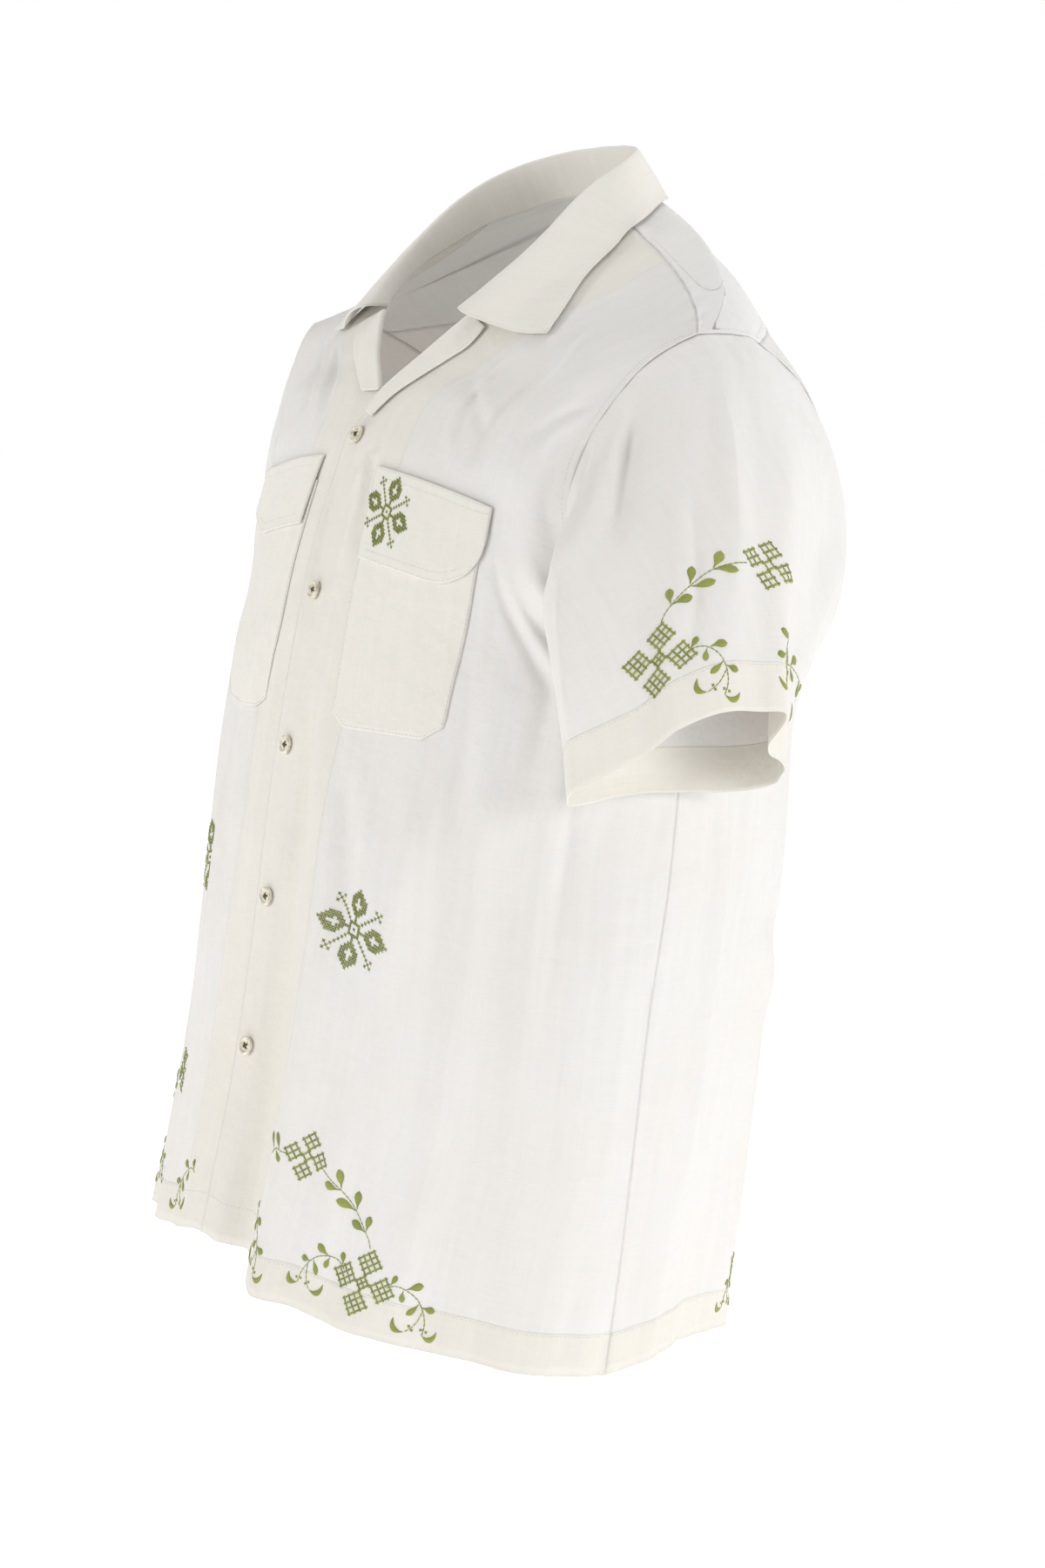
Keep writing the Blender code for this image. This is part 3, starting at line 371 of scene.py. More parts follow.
class ShirtSizes(bpy.types.PropertyGroup):
    cloth: metres("Cloth", "Thickness of a single layer of cloth", 0.0007)
    doubled_cloth: metres("Doubled Cloth", "Thickness of the collar, lapels and flaps", 0.0011)
    hem_band: metres("Hem Band", "Height of the turned hem of the body", 0.025)
    sleeve_band: metres("Sleeve Band", "Height of the turned hem of a sleeve", 0.028)
    facing: metres("Facing", "Width of the facing behind the front edges", 0.062)
    seam_rise: metres("Seam Rise", "How far a felled seam stands above the cloth", 0.0005)
    crease_share: bpy.props.FloatProperty(
        name="Creases", description="Depth of the small creases", default=2.2, subtype="FACTOR"
    )
    stitch: metres("Stitch", "Length of a topstitch with its gap", 0.0029)
    stitch_width: metres("Stitch Width", "Thickness of the topstitching thread", 0.0005)
    cross: metres("Cross", "Side of one cross of the counted flowers", 0.00188)
    floss: metres("Floss", "Width of one stitch of embroidery thread", 0.00098)
    button_radius: metres("Button Radius", "Radius of a button", 0.0058)
    button_thickness: metres("Button Thickness", "Thickness of a button", 0.0026)


def colour(name, description, value):
    """A colour in the panel."""
    return bpy.props.FloatVectorProperty(
        name=name, description=description, default=value, size=4, min=0, max=1, subtype="COLOR"
    )


class ShirtColours(bpy.types.PropertyGroup):
    cotton: colour("Cotton", "Single cloth over an open space", (0.885, 0.876, 0.856, 1))
    # Pale cotton is painted light: the single cloth paler in soft random clouds, as if more light came through it from
    # behind.
    pale_cotton: colour("Pale Cotton", "Single cloth where more light comes through", (0.90, 0.90, 0.898, 1))
    doubled: colour("Doubled", "Cloth in two or more layers", (0.82, 0.78, 0.69, 1))
    sewing_thread: colour("Sewing Thread", "Topstitching", (0.84, 0.81, 0.73, 1))
    # Floss and deep floss are the thread's lighter and darker tone, mixed at random from stitch to stitch; along the
    # twist they also paint light on each strand and shade in the grooves between strands.
    floss: colour("Floss", "Embroidery thread in the light", (0.36, 0.40, 0.07, 1))
    deep_floss: colour("Deep Floss", "Embroidery thread in its darker strands", (0.17, 0.20, 0.025, 1))
    button: colour("Button", "Face of the buttons", (0.84, 0.80, 0.67, 1))
    button_rim: colour("Button Rim", "Darker clouds of the buttons", (0.52, 0.46, 0.32, 1))
    floor: colour("Floor", "The studio floor", (0.93, 0.93, 0.93, 1))


# Shapes of the cloth


def unit(vectors):
    """Vectors of length 1."""
    return vectors / np.maximum(np.linalg.norm(vectors, axis=-1, keepdims=True), 1e-12)


def eased(share):
    """0 below 0, 1 above 1, and a smooth step between."""
    share = np.clip(share, 0, 1)
    return share * share * (3 - 2 * share)


def mixed(first, second, share):
    """A value between two, by its share of the second."""
    return first * (1 - share) + second * share


def nearest(apart, turn):
    """A distance round something closed, the short way and with its sign."""
    return (apart + turn / 2) % turn - turn / 2


def height_at(level):
    """Roughly how many metres above the hem a level of the body lies."""
    return np.interp(level, RISE_LEVELS, RISES)


def between(values, at):
    """Values at places between whole rows, on a smooth curve (Catmull-Rom) through all the rows."""
    before, after = 2 * values[0] - values[1], 2 * values[-1] - values[-2]
    padded = np.concatenate([[before], values, [after]])
    at = np.asarray(at, float)
    first = np.clip(np.floor(at).astype(int), 0, len(values) - 2)
    part = at - first
    a, b, c, d = (padded[first + i] for i in range(4))
    return b + part / 2 * (c - a + part * (2 * a - 5 * b + 4 * c - d + part * (3 * (b - c) + d - a)))


def parted(values, at):
    """Like between, with a corner at the underarm."""
    low = between(values[: UNDERARM + 1], np.minimum(at, UNDERARM))
    high = between(values[UNDERARM:], np.maximum(at, UNDERARM) - UNDERARM)
    return np.where(np.asarray(at) > UNDERARM, high, low)


def inner_line(panel, level):
    """The inner ends of the levels. The back's neckline leaves the centre line square to it."""
    names = "inner_x", "inner_y", "inner_z"
    if panel is FRONT:
        return [between(panel[name], level) for name in names]
    line = []
    for name in names:
        column = panel[name]
        mirrored = -column[12] if name == "inner_x" else column[12]
        centre = between(column[: NECK_BACK + 1], np.minimum(level, NECK_BACK))
        neck = between(np.array([mirrored, *column[NECK_BACK:]]), np.maximum(level, NECK_BACK) - 10)
        line.append(np.where(level > NECK_BACK, neck, centre))
    return line


def fold_depth(angle, level):
    """Sum of the large folds: each is a bell curve across its own slanting line, eased out at both ends."""
    depth = np.zeros(np.broadcast(angle, level).shape)
    for row in entries(FOLDS):
        low, high = row["low"], row["high"]
        share = np.clip((level - low) / (high - low), 0, 1)
        aside = nearest(angle - mixed(row["angle_low"], row["angle_high"], share), 4)
        height = mixed(row["depth_low"], row["depth_high"], share)
        ends = eased((level - low) / 0.8) * eased((high - level) / 0.8)
        depth += height * ends * np.exp(-((aside / row["width"]) ** 2))
    return depth


def crease(x, y, start, end, width, depth, bow):
    """One small crease: a bell curve across a bowed line from start to end, with half a bell of the other sign
    beside it. It fades over a third of its length at both ends."""
    way = end - start
    length = np.hypot(*way)
    along = ((x - start[0]) * way[0] + (y - start[1]) * way[1]) / length**2
    inside = np.clip(along, 0, 1)
    aside = ((y - start[1]) * way[0] - (x - start[0]) * way[1]) / length - bow * 4 * inside * (1 - inside)
    ends = eased(along / 0.35) * eased((1 - along) / 0.35)
    wide = width * (0.7 + 0.6 * inside)
    return depth * ends * (np.exp(-((aside / wide) ** 2)) - 0.5 * np.exp(-((aside / wide - 1.7) ** 2)))


def crease_depth(angle, level):
    """Sum of the body's small creases, in metres round the body and up it, with a slow ripple along the hem."""
    angle, level = np.broadcast_arrays(angle, level)
    height = height_at(level)
    depth = np.zeros(angle.shape)
    for row in entries(CREASES):
        aside = nearest(angle - row["angle_start"], 4) * QUARTER_GIRTH
        reach = nearest(row["angle_end"] - row["angle_start"], 4) * QUARTER_GIRTH
        start = np.array([0, height_at(row["level_start"])])
        end = np.array([reach, height_at(row["level_end"])])
        depth += crease(aside, height, start, end, row["width"], row["depth"], row["bow"])
    way = angle * np.pi / 2
    ripple = np.sin(way * 23 + 1.1 * np.sin(way * 5)) * 0.5 + np.sin(way * 41 + 2 * np.sin(way * 3)) * 0.3
    return depth + 0.0009 * ripple * (1 - eased(height / 0.06))


def seam_height(panel, angle, level, rise):
    """How the felled seams lift the cloth: an eased step that is highest at the seam and gone at the seam's reach.
    The side that lies under a seam dips instead."""
    upper = level > UNDERARM
    armhole = np.where(upper, 1 - eased((1 - angle) * UPPER_QUARTER / SEAM_REACH), 0)
    if panel is FRONT:
        side = np.where(upper, 0, 1 - eased((1 - angle) * LOWER_QUARTER / SEAM_REACH))
        return rise * np.maximum(armhole, side) - 0.6 * rise * (1 - eased((FRONT_TOP - level) * 0.03 / SEAM_DIP))
    side = np.where(upper, 0, -0.6 * (1 - eased((1 - angle) * LOWER_QUARTER / SEAM_DIP)))
    on_yoke = level >= YOKE_SEAM
    above = 1 - eased(np.abs(level - YOKE_SEAM) * LEVEL_STEP / np.where(on_yoke, SEAM_REACH, SEAM_DIP))
    yoke = np.where(on_yoke, above, 0) + (1 - eased((BACK_TOP - level) * LEVEL_STEP / SEAM_REACH))
    return rise * (np.maximum(armhole, np.minimum(yoke, 1)) + side)


def pucker(panel, angle, level):
    """Fine ripples square to the shoulder and yoke seams, half a millimetre high, gone 25 mm from the seam."""
    seam = FRONT_TOP if panel is FRONT else BACK_TOP
    away = np.abs(seam - level) * 0.036
    ripples = np.sin(angle * 61 + 2.1 * np.sin(angle * 13)) * (0.6 + 0.4 * np.sin(angle * 9 + 1))
    made = 0.0006 * ripples * np.exp(-((away / 0.014) ** 2)) * eased(angle / 0.15) * eased(away / 0.003)
    if panel is BACK:
        away = np.abs(level - YOKE_SEAM) * LEVEL_STEP
        made = made + 0.0004 * np.sin(angle * 90 + 3 * np.sin(angle * 7)) * np.exp(-((away / 0.010) ** 2))
    return made


def panel_points(panel, side, angle, level, sizes):
    """Points of half a panel: each level is an arc of an ellipse from its inner to its outer end, and the folds,
    creases and seams move it outwards."""
    sweep = np.radians(parted(panel["sweep"], level))
    turn = np.clip(angle, 0, 1) * sweep
    across = np.sin(turn) / np.sin(sweep)
    away = (1 - np.cos(turn)) / (1 - np.cos(sweep))
    x, y, z = inner_line(panel, level)
    outer_y = parted(panel["left_y" if side > 0 else "right_y"], level)
    if panel is FRONT:
        straight = eased((level - VEE) / 4)
        rise = 0.9 * eased((level - 6) / 5)
    else:
        straight = eased((level - 8) / 5)
        rise = 0.9 * eased((level - 7) / 5)
    z = z + (parted(panel["outer_z"], level) - z) * (away + (across - away) * straight)
    place = angle if panel is FRONT else 2 - angle
    drop = np.interp(place, HEM_DROP["angle"], HEM_DROP["drop"])
    if panel is FRONT and side < 0:
        drop = drop * RIGHT_HEM_SHARE
    z = z - drop * (1 - eased(level / 2.5))
    x = x + (parted(panel["outer_x"], level) - x) * across
    y = y + (outer_y - y) * away
    on_lap = np.minimum(angle, 0)
    lap_left = 0.06 + 0.94 * (1 - eased((level - TOP_BUTTON) / 0.9))
    if panel is FRONT:
        x = x + on_lap * LAP * lap_left
        around = side * (np.clip(angle, 0, 1) + on_lap * LAP_IN_ANGLE * lap_left)
        top = 1 - eased((level - 11.2) / 0.8)
    else:
        around = side * (2 - angle)
        top = 1 - eased((level - 12.0) / 0.9)
    depth = fold_depth(around, level) + sizes.crease_share * (crease_depth(around, level) * top)
    depth = depth + seam_height(panel, angle, level, sizes.seam_rise) + pucker(panel, angle, level)
    if panel is FRONT and side < 0:
        depth = depth - UNDERLAP_DROP * (1 - eased(angle / 0.2)) * (1 - eased(level - VEE))
    way = around * np.pi / 2
    out = unit(np.stack(np.broadcast_arrays(np.sin(way), -np.cos(way), rise), -1))
    base = np.stack(np.broadcast_arrays(side * x, y, z), -1)
    return base + depth[..., None] * out


def across_grid(points):
    """Unit normals of a grid of points."""
    return unit(np.cross(np.gradient(points, axis=1), np.gradient(points, axis=0)))


def measured(grid, from_column=0, flip_rows=False):
    """Adds u, the length along each row from one column, and v, the length up each column, and which way the
    grid's u, v and outward normal turn."""
    points = grid["points"]
    steps = np.linalg.norm(np.diff(points, axis=1), axis=-1)
    u = np.concatenate([np.zeros((len(points), 1)), np.cumsum(steps, 1)], 1)
    grid["u"] = u - u[:, from_column : from_column + 1]
    rises = np.linalg.norm(np.diff(points, axis=0), axis=-1)
    v = np.concatenate([np.zeros((1, points.shape[1])), np.cumsum(rises, 0)], 0)
    grid["v"] = v[-1:] - v if flip_rows else v
    grid["out"] = grid["normals"] * grid["sign"]
    grid["hand"] = grid["sign"] * (-1 if flip_rows else 1)
    return grid


def panel_grid(panel, side, angles, levels, sizes):
    """Half a panel as a grid: a row for each level and a column for each angle, measured from the angle 0."""
    points = panel_points(panel, side, angles[None, :], levels[:, None], sizes)
    grid = {"points": points, "normals": across_grid(points), "angles": angles, "levels": levels, "side": side}
    grid["sign"] = side if panel is FRONT else -side
    return measured(grid, int(np.searchsorted(angles, 0)))


def angle_at(level, x):
    """The angle at which a level of the front reaches a distance x from the centre."""
    start = between(FRONT["inner_x"], level)
    end = parted(FRONT["outer_x"], level)
    sweep = np.radians(parted(FRONT["sweep"], level))
    return np.arcsin(np.clip((x - start) / (end - start) * np.sin(sweep), -1, 1)) / sweep


def sampled(values, row, column):
    """Values of a grid between its points, bilinear."""
    i = np.clip(row.astype(int), 0, values.shape[0] - 2)
    j = np.clip(column.astype(int), 0, values.shape[1] - 2)
    a, b = row - i, column - j
    if values.ndim == 3:
        a, b = a[..., None], b[..., None]
    low = values[i, j] * (1 - b) + values[i, j + 1] * b
    return low * (1 - a) + (values[i + 1, j] * (1 - b) + values[i + 1, j + 1] * b) * a


def on_front(grid, angle, level, height):
    """Points over a front, moved outwards by a height."""
    angle, level, height = np.broadcast_arrays(angle, level, height)
    row = np.interp(level, grid["levels"], np.arange(len(grid["levels"])))
    column = np.interp(angle, grid["angles"], np.arange(len(grid["angles"])))
    out = unit(sampled(grid["out"], row, column))
    return sampled(grid["points"], row, column) + out * height[..., None]


def on_cloth(grid, u, v, height):
    """Points at a length u across and v up a sheet, at a height over it. Newton's method finds their place in the
    grid."""
    rows, columns = grid["u"].shape
    order = np.argsort(grid["v"].mean(1))
    row = np.interp(v, grid["v"].mean(1)[order], order.astype(float))
    column = np.interp(u, grid["u"][rows // 2], np.arange(columns))
    step_u = np.gradient(grid["u"], axis=1), np.gradient(grid["u"], axis=0)
    step_v = np.gradient(grid["v"], axis=1), np.gradient(grid["v"], axis=0)
    for _ in range(NEWTON_STEPS):
        miss_u, miss_v = u - sampled(grid["u"], row, column), v - sampled(grid["v"], row, column)
        a, b = (sampled(step, row, column) for step in step_u)
        c, d = (sampled(step, row, column) for step in step_v)
        scale = a * d - b * c
        column = np.clip(column + (miss_u * d - miss_v * b) / scale, 0, columns - 1)
        row = np.clip(row + (miss_v * a - miss_u * c) / scale, 0, rows - 1)
    out = unit(sampled(grid["out"], row, column))
    return sampled(grid["points"], row, column) + out * np.asarray(height)[..., None]


def sleeve_ways(turn, side, length):
    """How each line down a sleeve leaves the armhole, and how it reaches the hem."""
    low = np.maximum(np.cos(2 * np.pi * turn), 0) ** 2
    high = np.maximum(-np.cos(2 * np.pi * turn), 0) ** 2
    across = np.sin(2 * np.pi * turn)
    parts = low, np.maximum(across, 0) ** 2, high, np.maximum(-across, 0) ** 2
    forward = SLEEVE_STARTS["front"] * (SLEEVES["forward"][0] if side > 0 else SLEEVES["forward"][1])
    rows = np.stack([SLEEVE_STARTS["out"] * side, -forward, -SLEEVE_STARTS["down"]], -1)
    start = sum(part[:, None] * rows[i] for i, part in enumerate(parts))
    return start * length[:, None], rows[4] * length[:, None]


def sleeve_fold(side, turn, along, share):
    """Sum of a sleeve's folds and small creases, bell curves across their own lines, with a ripple along the hem and
    short pulls at the armhole."""
    turn, along = np.broadcast_arrays(turn, along)
    depth = np.zeros(turn.shape)
    for row in entries(SLEEVE_FOLDS, side):
        start, end = row["start"], row["end"]
        part = np.clip((along - start) / (end - start), 0, 1)
        aside = nearest(turn - mixed(row["turn_start"], row["turn_end"], part), 1)
        height = mixed(row["depth_start"], row["depth_end"], part)
        ends = eased((along - start) / 0.3) * eased((end - along) / 0.3) * eased(along / 0.15)
        depth += height * ends * np.exp(-((aside / row["width"]) ** 2))
    for row in entries(SLEEVE_CREASES, side):
        aside = nearest(turn - row["turn_start"], 1) * SLEEVE_GIRTH
        start = np.array([0, row["along_start"] * SLEEVE_LENGTH])
        end = np.array([(row["turn_end"] - row["turn_start"]) * SLEEVE_GIRTH, row["along_end"] * SLEEVE_LENGTH])
        depth += share * crease(aside, along * SLEEVE_LENGTH, start, end, row["width"], row["depth"], row["bow"])
    way = turn * 2 * np.pi
    ripple = np.sin(way * 13 + np.sin(way * 4)) * 0.5 + np.sin(way * 22 + 2 * np.sin(way * 3)) * 0.4
    pull = 0.0005 * np.sin(way * 19 + 2 * np.sin(way * 5)) * np.exp(-((along / 0.07) ** 2))
    return depth + 0.0007 * ripple * eased((along - 0.8) / 0.2) + pull * eased(along / 0.02)


def armhole_of(front, yoke, back):
    """The ring of edge points round an armhole with their outward normals, from the underarm over the front."""
    first = len(LOW_LEVELS)
    ring, normals = (
        np.concatenate([front[key][first:, -1], yoke[key][::-1, -1][1:], back[key][first:, -1][::-1][1:-1]])
        for key in ("points", "out")
    )
    normals = unit(sum(np.roll(normals, k, 0) for k in range(-3, 4)))
    return ring, normals, len(FRONT_LEVELS) - first - 1


def sleeve_grid(front, yoke, back, row, sizes):
    """A sleeve as cubic lines that leave the armhole one way and reach the slanting hem ring another, with folds.
    It starts just under the edge of the body."""
    side = SLEEVES["side"][row]
    ring, normals, tip = armhole_of(front, yoke, back)
    steps = np.linalg.norm(np.roll(ring, -1, 0) - ring, axis=-1)
    reached = np.concatenate([[0], np.cumsum(steps)])
    turn = np.interp(reached, [0, reached[tip], reached[-1]], [0, 0.5, 1])[:-1]
    slant = np.radians(SLEEVES["slant"][row])
    out = np.array([side * np.cos(slant), 0, np.sin(slant)])
    radial = -np.cos(2 * np.pi * turn)[:, None] * out * SLEEVES["half_out"][row]
    radial[:, 1] -= np.sin(2 * np.pi * turn) * SLEEVES["half_front"][row]
    centre = np.array([side * SLEEVES["hem_x"][row], SLEEVES["hem_y"][row], SLEEVES["hem_z"][row]])
    hem = centre + radial
    hem[:, 2] += HEM_BEND * (np.cos(4 * np.pi * turn) - 0.3)
    start_way, end_way = sleeve_ways(turn, side, np.linalg.norm(hem - ring, axis=-1) * SLEEVE_PULL)
    along = np.roll(ring, -3, 0) - np.roll(ring, 3, 0)
    outwards = unit(np.cross(along, normals))
    middle = ring.mean(0) + np.array([0.1 * side, 0, 0])
    outwards *= np.sign(np.sum(outwards * (middle - ring), -1, keepdims=True))
    ring = ring - outwards * SLEEVE_INSET - normals * (sizes.seam_rise * 0.7 + sizes.cloth * 0.7)
    s = SLEEVE_RINGS[:, None, None]
    points = ring * (1 + 2 * s) * (1 - s) ** 2 + start_way * s * (1 - s) ** 2
    points = points + hem * s * s * (3 - 2 * s) - end_way * s * s * (1 - s)
    depth = sleeve_fold(side, turn[None, :], SLEEVE_RINGS[:, None], sizes.crease_share)
    points = points + unit(radial) * depth[..., None]
    wrapped = np.concatenate([points[:, -1:], points, points[:, :2]], 1)
    normals = across_grid(wrapped)[:, 1:-1]
    outer = np.sign(np.sum(normals[len(SLEEVE_RINGS) // 2, :-1] * unit(radial)))
    grid = {"points": wrapped[:, 1:-1], "normals": normals, "side": side, "sign": outer}
    return measured(grid, flip_rows=True)


def neck_edge(front, yoke):
    """The neckline of one half from the centre back to the gorge, with outward normals."""
    back = int(np.searchsorted(YOKE_LEVELS, NECK_BACK - 1e-6))
    end = int(np.searchsorted(FRONT_LEVELS, 10 - 1e-6))
    line = np.concatenate([yoke["points"][back:-1, 0], front["points"][end:, 0][::-1]])
    normals = np.concatenate([yoke["out"][back:-1, 0], front["out"][end:, 0][::-1]])
    return line, normals


def beside(line, normals):
    """Directions across the neckline, in the cloth and towards the neck."""
    out = unit(np.cross(np.gradient(line, axis=0), normals))
    return out * np.sign(np.sum(out * (NECK_MIDDLE - line), -1, keepdims=True))


def lifted(points, floor, floor_out, clear):
    """Points moved out along the nearest normals until they clear the cloth below them."""
    made = points.copy()
    for i, line in enumerate(points):
        apart = line[:, None, :] - floor[None]
        near = np.argmin(np.sum(apart * apart, -1), 1)
        height = np.sum((line - floor[near]) * floor_out[near], -1)
        made[i] = line + np.maximum(clear[i] - height, 0)[:, None] * floor_out[near]
    return made


def smoothed(points, times):
    """Each inner point moved halfway to the mean of its four neighbours."""
    points = points.copy()
    for _ in range(times):
        mean = (points[:-2, 1:-1] + points[2:, 1:-1] + points[1:-1, :-2] + points[1:-1, 2:]) / 4
        points[1:-1, 1:-1] = points[1:-1, 1:-1] * 0.5 + mean * 0.5
    return points


def collar_grid(front, yoke, floor, floor_out):
    """Half of the collar: across it each line is a parabola over the roll, from the neck seam to the free edge."""
    side = front["side"]
    edge, normals = neck_edge(front, yoke)
    steps = np.linalg.norm(np.diff(edge, axis=0), axis=-1)
    reached = np.concatenate([[0], np.cumsum(steps)])
    reached *= COLLAR["along"][-1] / reached[-1]
    at = np.interp(reached, COLLAR["along"], np.arange(7))
    roll = np.stack([between(COLLAR[name], at) for name in ("roll_x", "roll_y", "roll_z")], -1)
    free = np.stack([between(COLLAR[name], at) for name in ("edge_x", "edge_y", "edge_z")], -1)
    roll[:, 0] *= side
    free[:, 0] *= side
    outwards = beside(edge, normals)
    outwards[0] = unit(outwards[0] * np.array([0, 1, 1]))
    seam = edge - outwards * 0.001
    stand = np.linalg.norm(roll - seam, axis=-1, keepdims=True)
    share = stand / (stand + np.linalg.norm(free - roll, axis=-1, keepdims=True))
    top = (roll - (1 - share) ** 2 * seam - share**2 * free) / (2 * share * (1 - share))
    w = np.linspace(0, 1, 45)[:, None, None]
    points = (1 - w) ** 2 * seam + 2 * w * (1 - w) * top + w * w * free
    clear = np.broadcast_to((CLOTH + LAYER_GAP) * 1.7 * eased((w[..., 0] - 0.3) / 0.2), points.shape[:2])
    points = np.where(w > 0.3, lifted(points, floor, floor_out, clear), points)
    points = smoothed(points, 6)
    points[:, 0, 0] = 0
    normals = across_grid(points)
    sign = np.sign(np.sum(normals[-4, 5:-5] * np.array([side * 0.3, 0, 1.0])))
    return measured({"points": points, "normals": normals, "side": side, "sign": sign})


def lapel_grid(front, start):
    """A lapel: half a circle rolls the cloth over the front's inner edge, and then it lies over the front."""
    at = np.linspace(start, 6, 64)[:, None]
    low, high = between(LAPEL["inner_level"], at), between(LAPEL["outer_level"], at)
    radius = LAPEL_LIFT / 2
    edge = angle_at(low, between(FRONT["inner_x"], low))
    base = on_front(front, edge, low, 0.0)[:, 0]
    out = unit(on_front(front, edge, low, 1.0)[:, 0] - base)
    away = unit(np.cross(np.gradient(base, axis=0), out))
    chest = front["points"][100, 60]  # A point well away from the front's edge, which tells the free side
    away *= np.sign(np.sum(away * (base - chest), -1, keepdims=True))
    turn = np.linspace(0, np.pi, 9)[:-1, None, None]
    rolled = base + out * radius * (1 - np.cos(turn)) + away * radius * np.sin(turn)
    across = np.linspace(0, 1, 30)[None, :]
    level = low + (high - low) * across
    inner_x = between(FRONT["inner_x"], level)
    x = inner_x + (between(LAPEL["outer_x"], at) - inner_x) * across
    leaf = on_front(front, angle_at(level, x), level, LAPEL_LIFT)
    points = np.concatenate([rolled.transpose(1, 0, 2), leaf], 1)
    normals = across_grid(points)
    sign = np.sign(np.sum(normals[30, 20] * out[30]))
    return measured({"points": points, "normals": normals, "side": front["side"], "sign": sign})


def laid_grid(front, level, share, table_of, at, height):
    """A patch over a front: each row runs from the table's inner to its outer distance from the centre line."""
    inner, outer = between(table_of["inner_x"], at), between(table_of["outer_x"], at)
    points = on_front(front, angle_at(level, inner + (outer - inner) * share), level, height)
    return measured({"points": points, "normals": across_grid(points), "side": front["side"], "sign": front["side"]})


def pocket_grid(front):
    """The pocket lies 0.9 mm over the front, puffs out a little between its seams, and has cut lower corners."""
    along = np.linspace(0, 1, 50)[:, None]
    across = np.linspace(0, 1, 42)[None, :]
    at = along * 2
    cut = 0.10 * (1 - eased(along / 0.08)) * np.maximum(np.abs(across * 2 - 1) - 0.7, 0) / 0.3
    level = between(POCKET["level"], at) + cut
    edge = np.minimum(np.minimum(across, 1 - across) * 0.11, along * 0.13)
    puffed = 0.0003 * eased(edge / 0.012) * (0.6 + 0.4 * np.sin(across * 7 + along * 4))
    return laid_grid(front, level, across, POCKET, at, 0.0009 + puffed)


def flap_grid(front):
    """The flap hangs from its top seam, and its outer corner is rounded. It swells a little across its middle."""
    down = np.linspace(1, 0, 34)[:, None]
    across = np.concatenate([np.linspace(0, 0.7, 26, endpoint=False), np.linspace(0.7, 1, 20)])[None, :]
    bend = np.clip((across - FLAP_CORNER) / (1 - FLAP_CORNER), 0, 1)
    depth = 1 - 0.62 * (1 - np.sqrt(1 - bend * bend))
    at = 2 * (1 - down * depth)
    level = between(FLAP["level"], at) - FLAP_TILT * across
    if front["side"] < 0:
        level = level + RIGHT_FLAP_RISE * (0.5 + 0.5 * down)
    swell = 0.0004 * np.sin(across * 11 + down * 1.5) * down * (1 - across)
    return laid_grid(front, level, across, FLAP, at, 0.0020 + 0.0004 * down + swell)


_grids = {}


def shirt_grids():
    """All the sheets as grids, worked out once."""
    if _grids:
        return _grids
    sizes = bpy.context.scene.shirt_sizes
    floor, floor_out = [], []
    for side, word in ((1, "left"), (-1, "right")):
        front = panel_grid(FRONT, side, np.concatenate([LAP_ANGLES, ANGLES]), FRONT_LEVELS, sizes)
        yoke = panel_grid(BACK, side, ANGLES, YOKE_LEVELS, sizes)
        back = panel_grid(BACK, side, ANGLES, BACK_LEVELS, sizes)
        _grids.update({"front_" + word: front, "yoke_" + word: yoke, "back_" + word: back})
        _grids["sleeve_" + word] = sleeve_grid(front, yoke, back, 0 if side > 0 else 1, sizes)
        _grids["lapel_" + word] = lapel_grid(front, 0.0 if side > 0 else 1.15)
        _grids["pocket_" + word] = pocket_grid(front)
        _grids["flap_" + word] = flap_grid(front)
        for grid, rows in ((front, slice(80, None, 2)), (yoke, slice(0, None, 2))):
            floor.append(grid["points"][rows, ::2].reshape(-1, 3))
            floor_out.append(grid["out"][rows, ::2].reshape(-1, 3))
    floor, floor_out = np.concatenate(floor), np.concatenate(floor_out)
    for word in ("left", "right"):
        _grids["collar_" + word] = collar_grid(_grids["front_" + word], _grids["yoke_" + word], floor, floor_out)
    return _grids


# Meshes


def new_object(name, points, faces, uv=None, shade=None):
    """A mesh object at the origin, from whole arrays of points and faces, with a UV map in metres and a shade for
    each point if they are given."""
    mesh = bpy.data.meshes.new(name)
    mesh.from_pydata(points, [], faces)
    mesh.polygons.foreach_set("use_smooth", np.ones(len(mesh.polygons), bool))
    if uv is not None:
        mesh.uv_layers.new(name="flat").data.foreach_set("uv", uv.astype(np.float32).ravel())
    if shade is not None:
        mesh.attributes.new("shade", "FLOAT", "POINT").data.foreach_set("value", shade.astype(np.float32))
    mesh.update()
    made = bpy.data.objects.new(name, mesh)
    bpy.context.scene.collection.objects.link(made)
    return made


def cloth_sheet(name, grids, thickness, material, nodes, mirrored_u=True):
    """A thin closed sheet of cloth from grids. Grids that share points are one piece, and the UV map holds the
    lengths across and up the cloth in metres."""
    points, uv, quads, start = [], [], [], 0
    for grid in grids:
        rows, columns = grid["u"].shape
        index = start + np.arange(rows * columns).reshape(rows, columns)
        start += rows * columns
        corners = [index[:-1, :-1], index[:-1, 1:], index[1:, 1:], index[1:, :-1]]
        if grid["sign"] < 0:
            corners.reverse()
        quads.append(np.stack([c.ravel() for c in corners], -1))
        points.append(grid["points"].reshape(-1, 3))
        u = grid["u"] * (grid["side"] if mirrored_u else 1)
        uv.append(np.stack([u.ravel(), grid["v"].ravel()], -1))
    points, uv, quads = np.concatenate(points), np.concatenate(uv), np.concatenate(quads)
    _, first, same = np.unique(np.round(points * 1e6).astype(np.int64), axis=0, return_index=True, return_inverse=True)
    faces = same.reshape(-1)[quads]
    whole = (faces != np.roll(faces, 1, 1)).all(1)
    made = new_object(name, points[first], faces[whole], uv[quads[whole]])
    made.data.materials.append(material)
    wall = made.modifiers.new("wall", "SOLIDIFY")
    wall.thickness = thickness
    wall.offset = 0
    wall.use_even_offset = False
    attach(made, "root")
    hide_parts(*nodes)
    return made


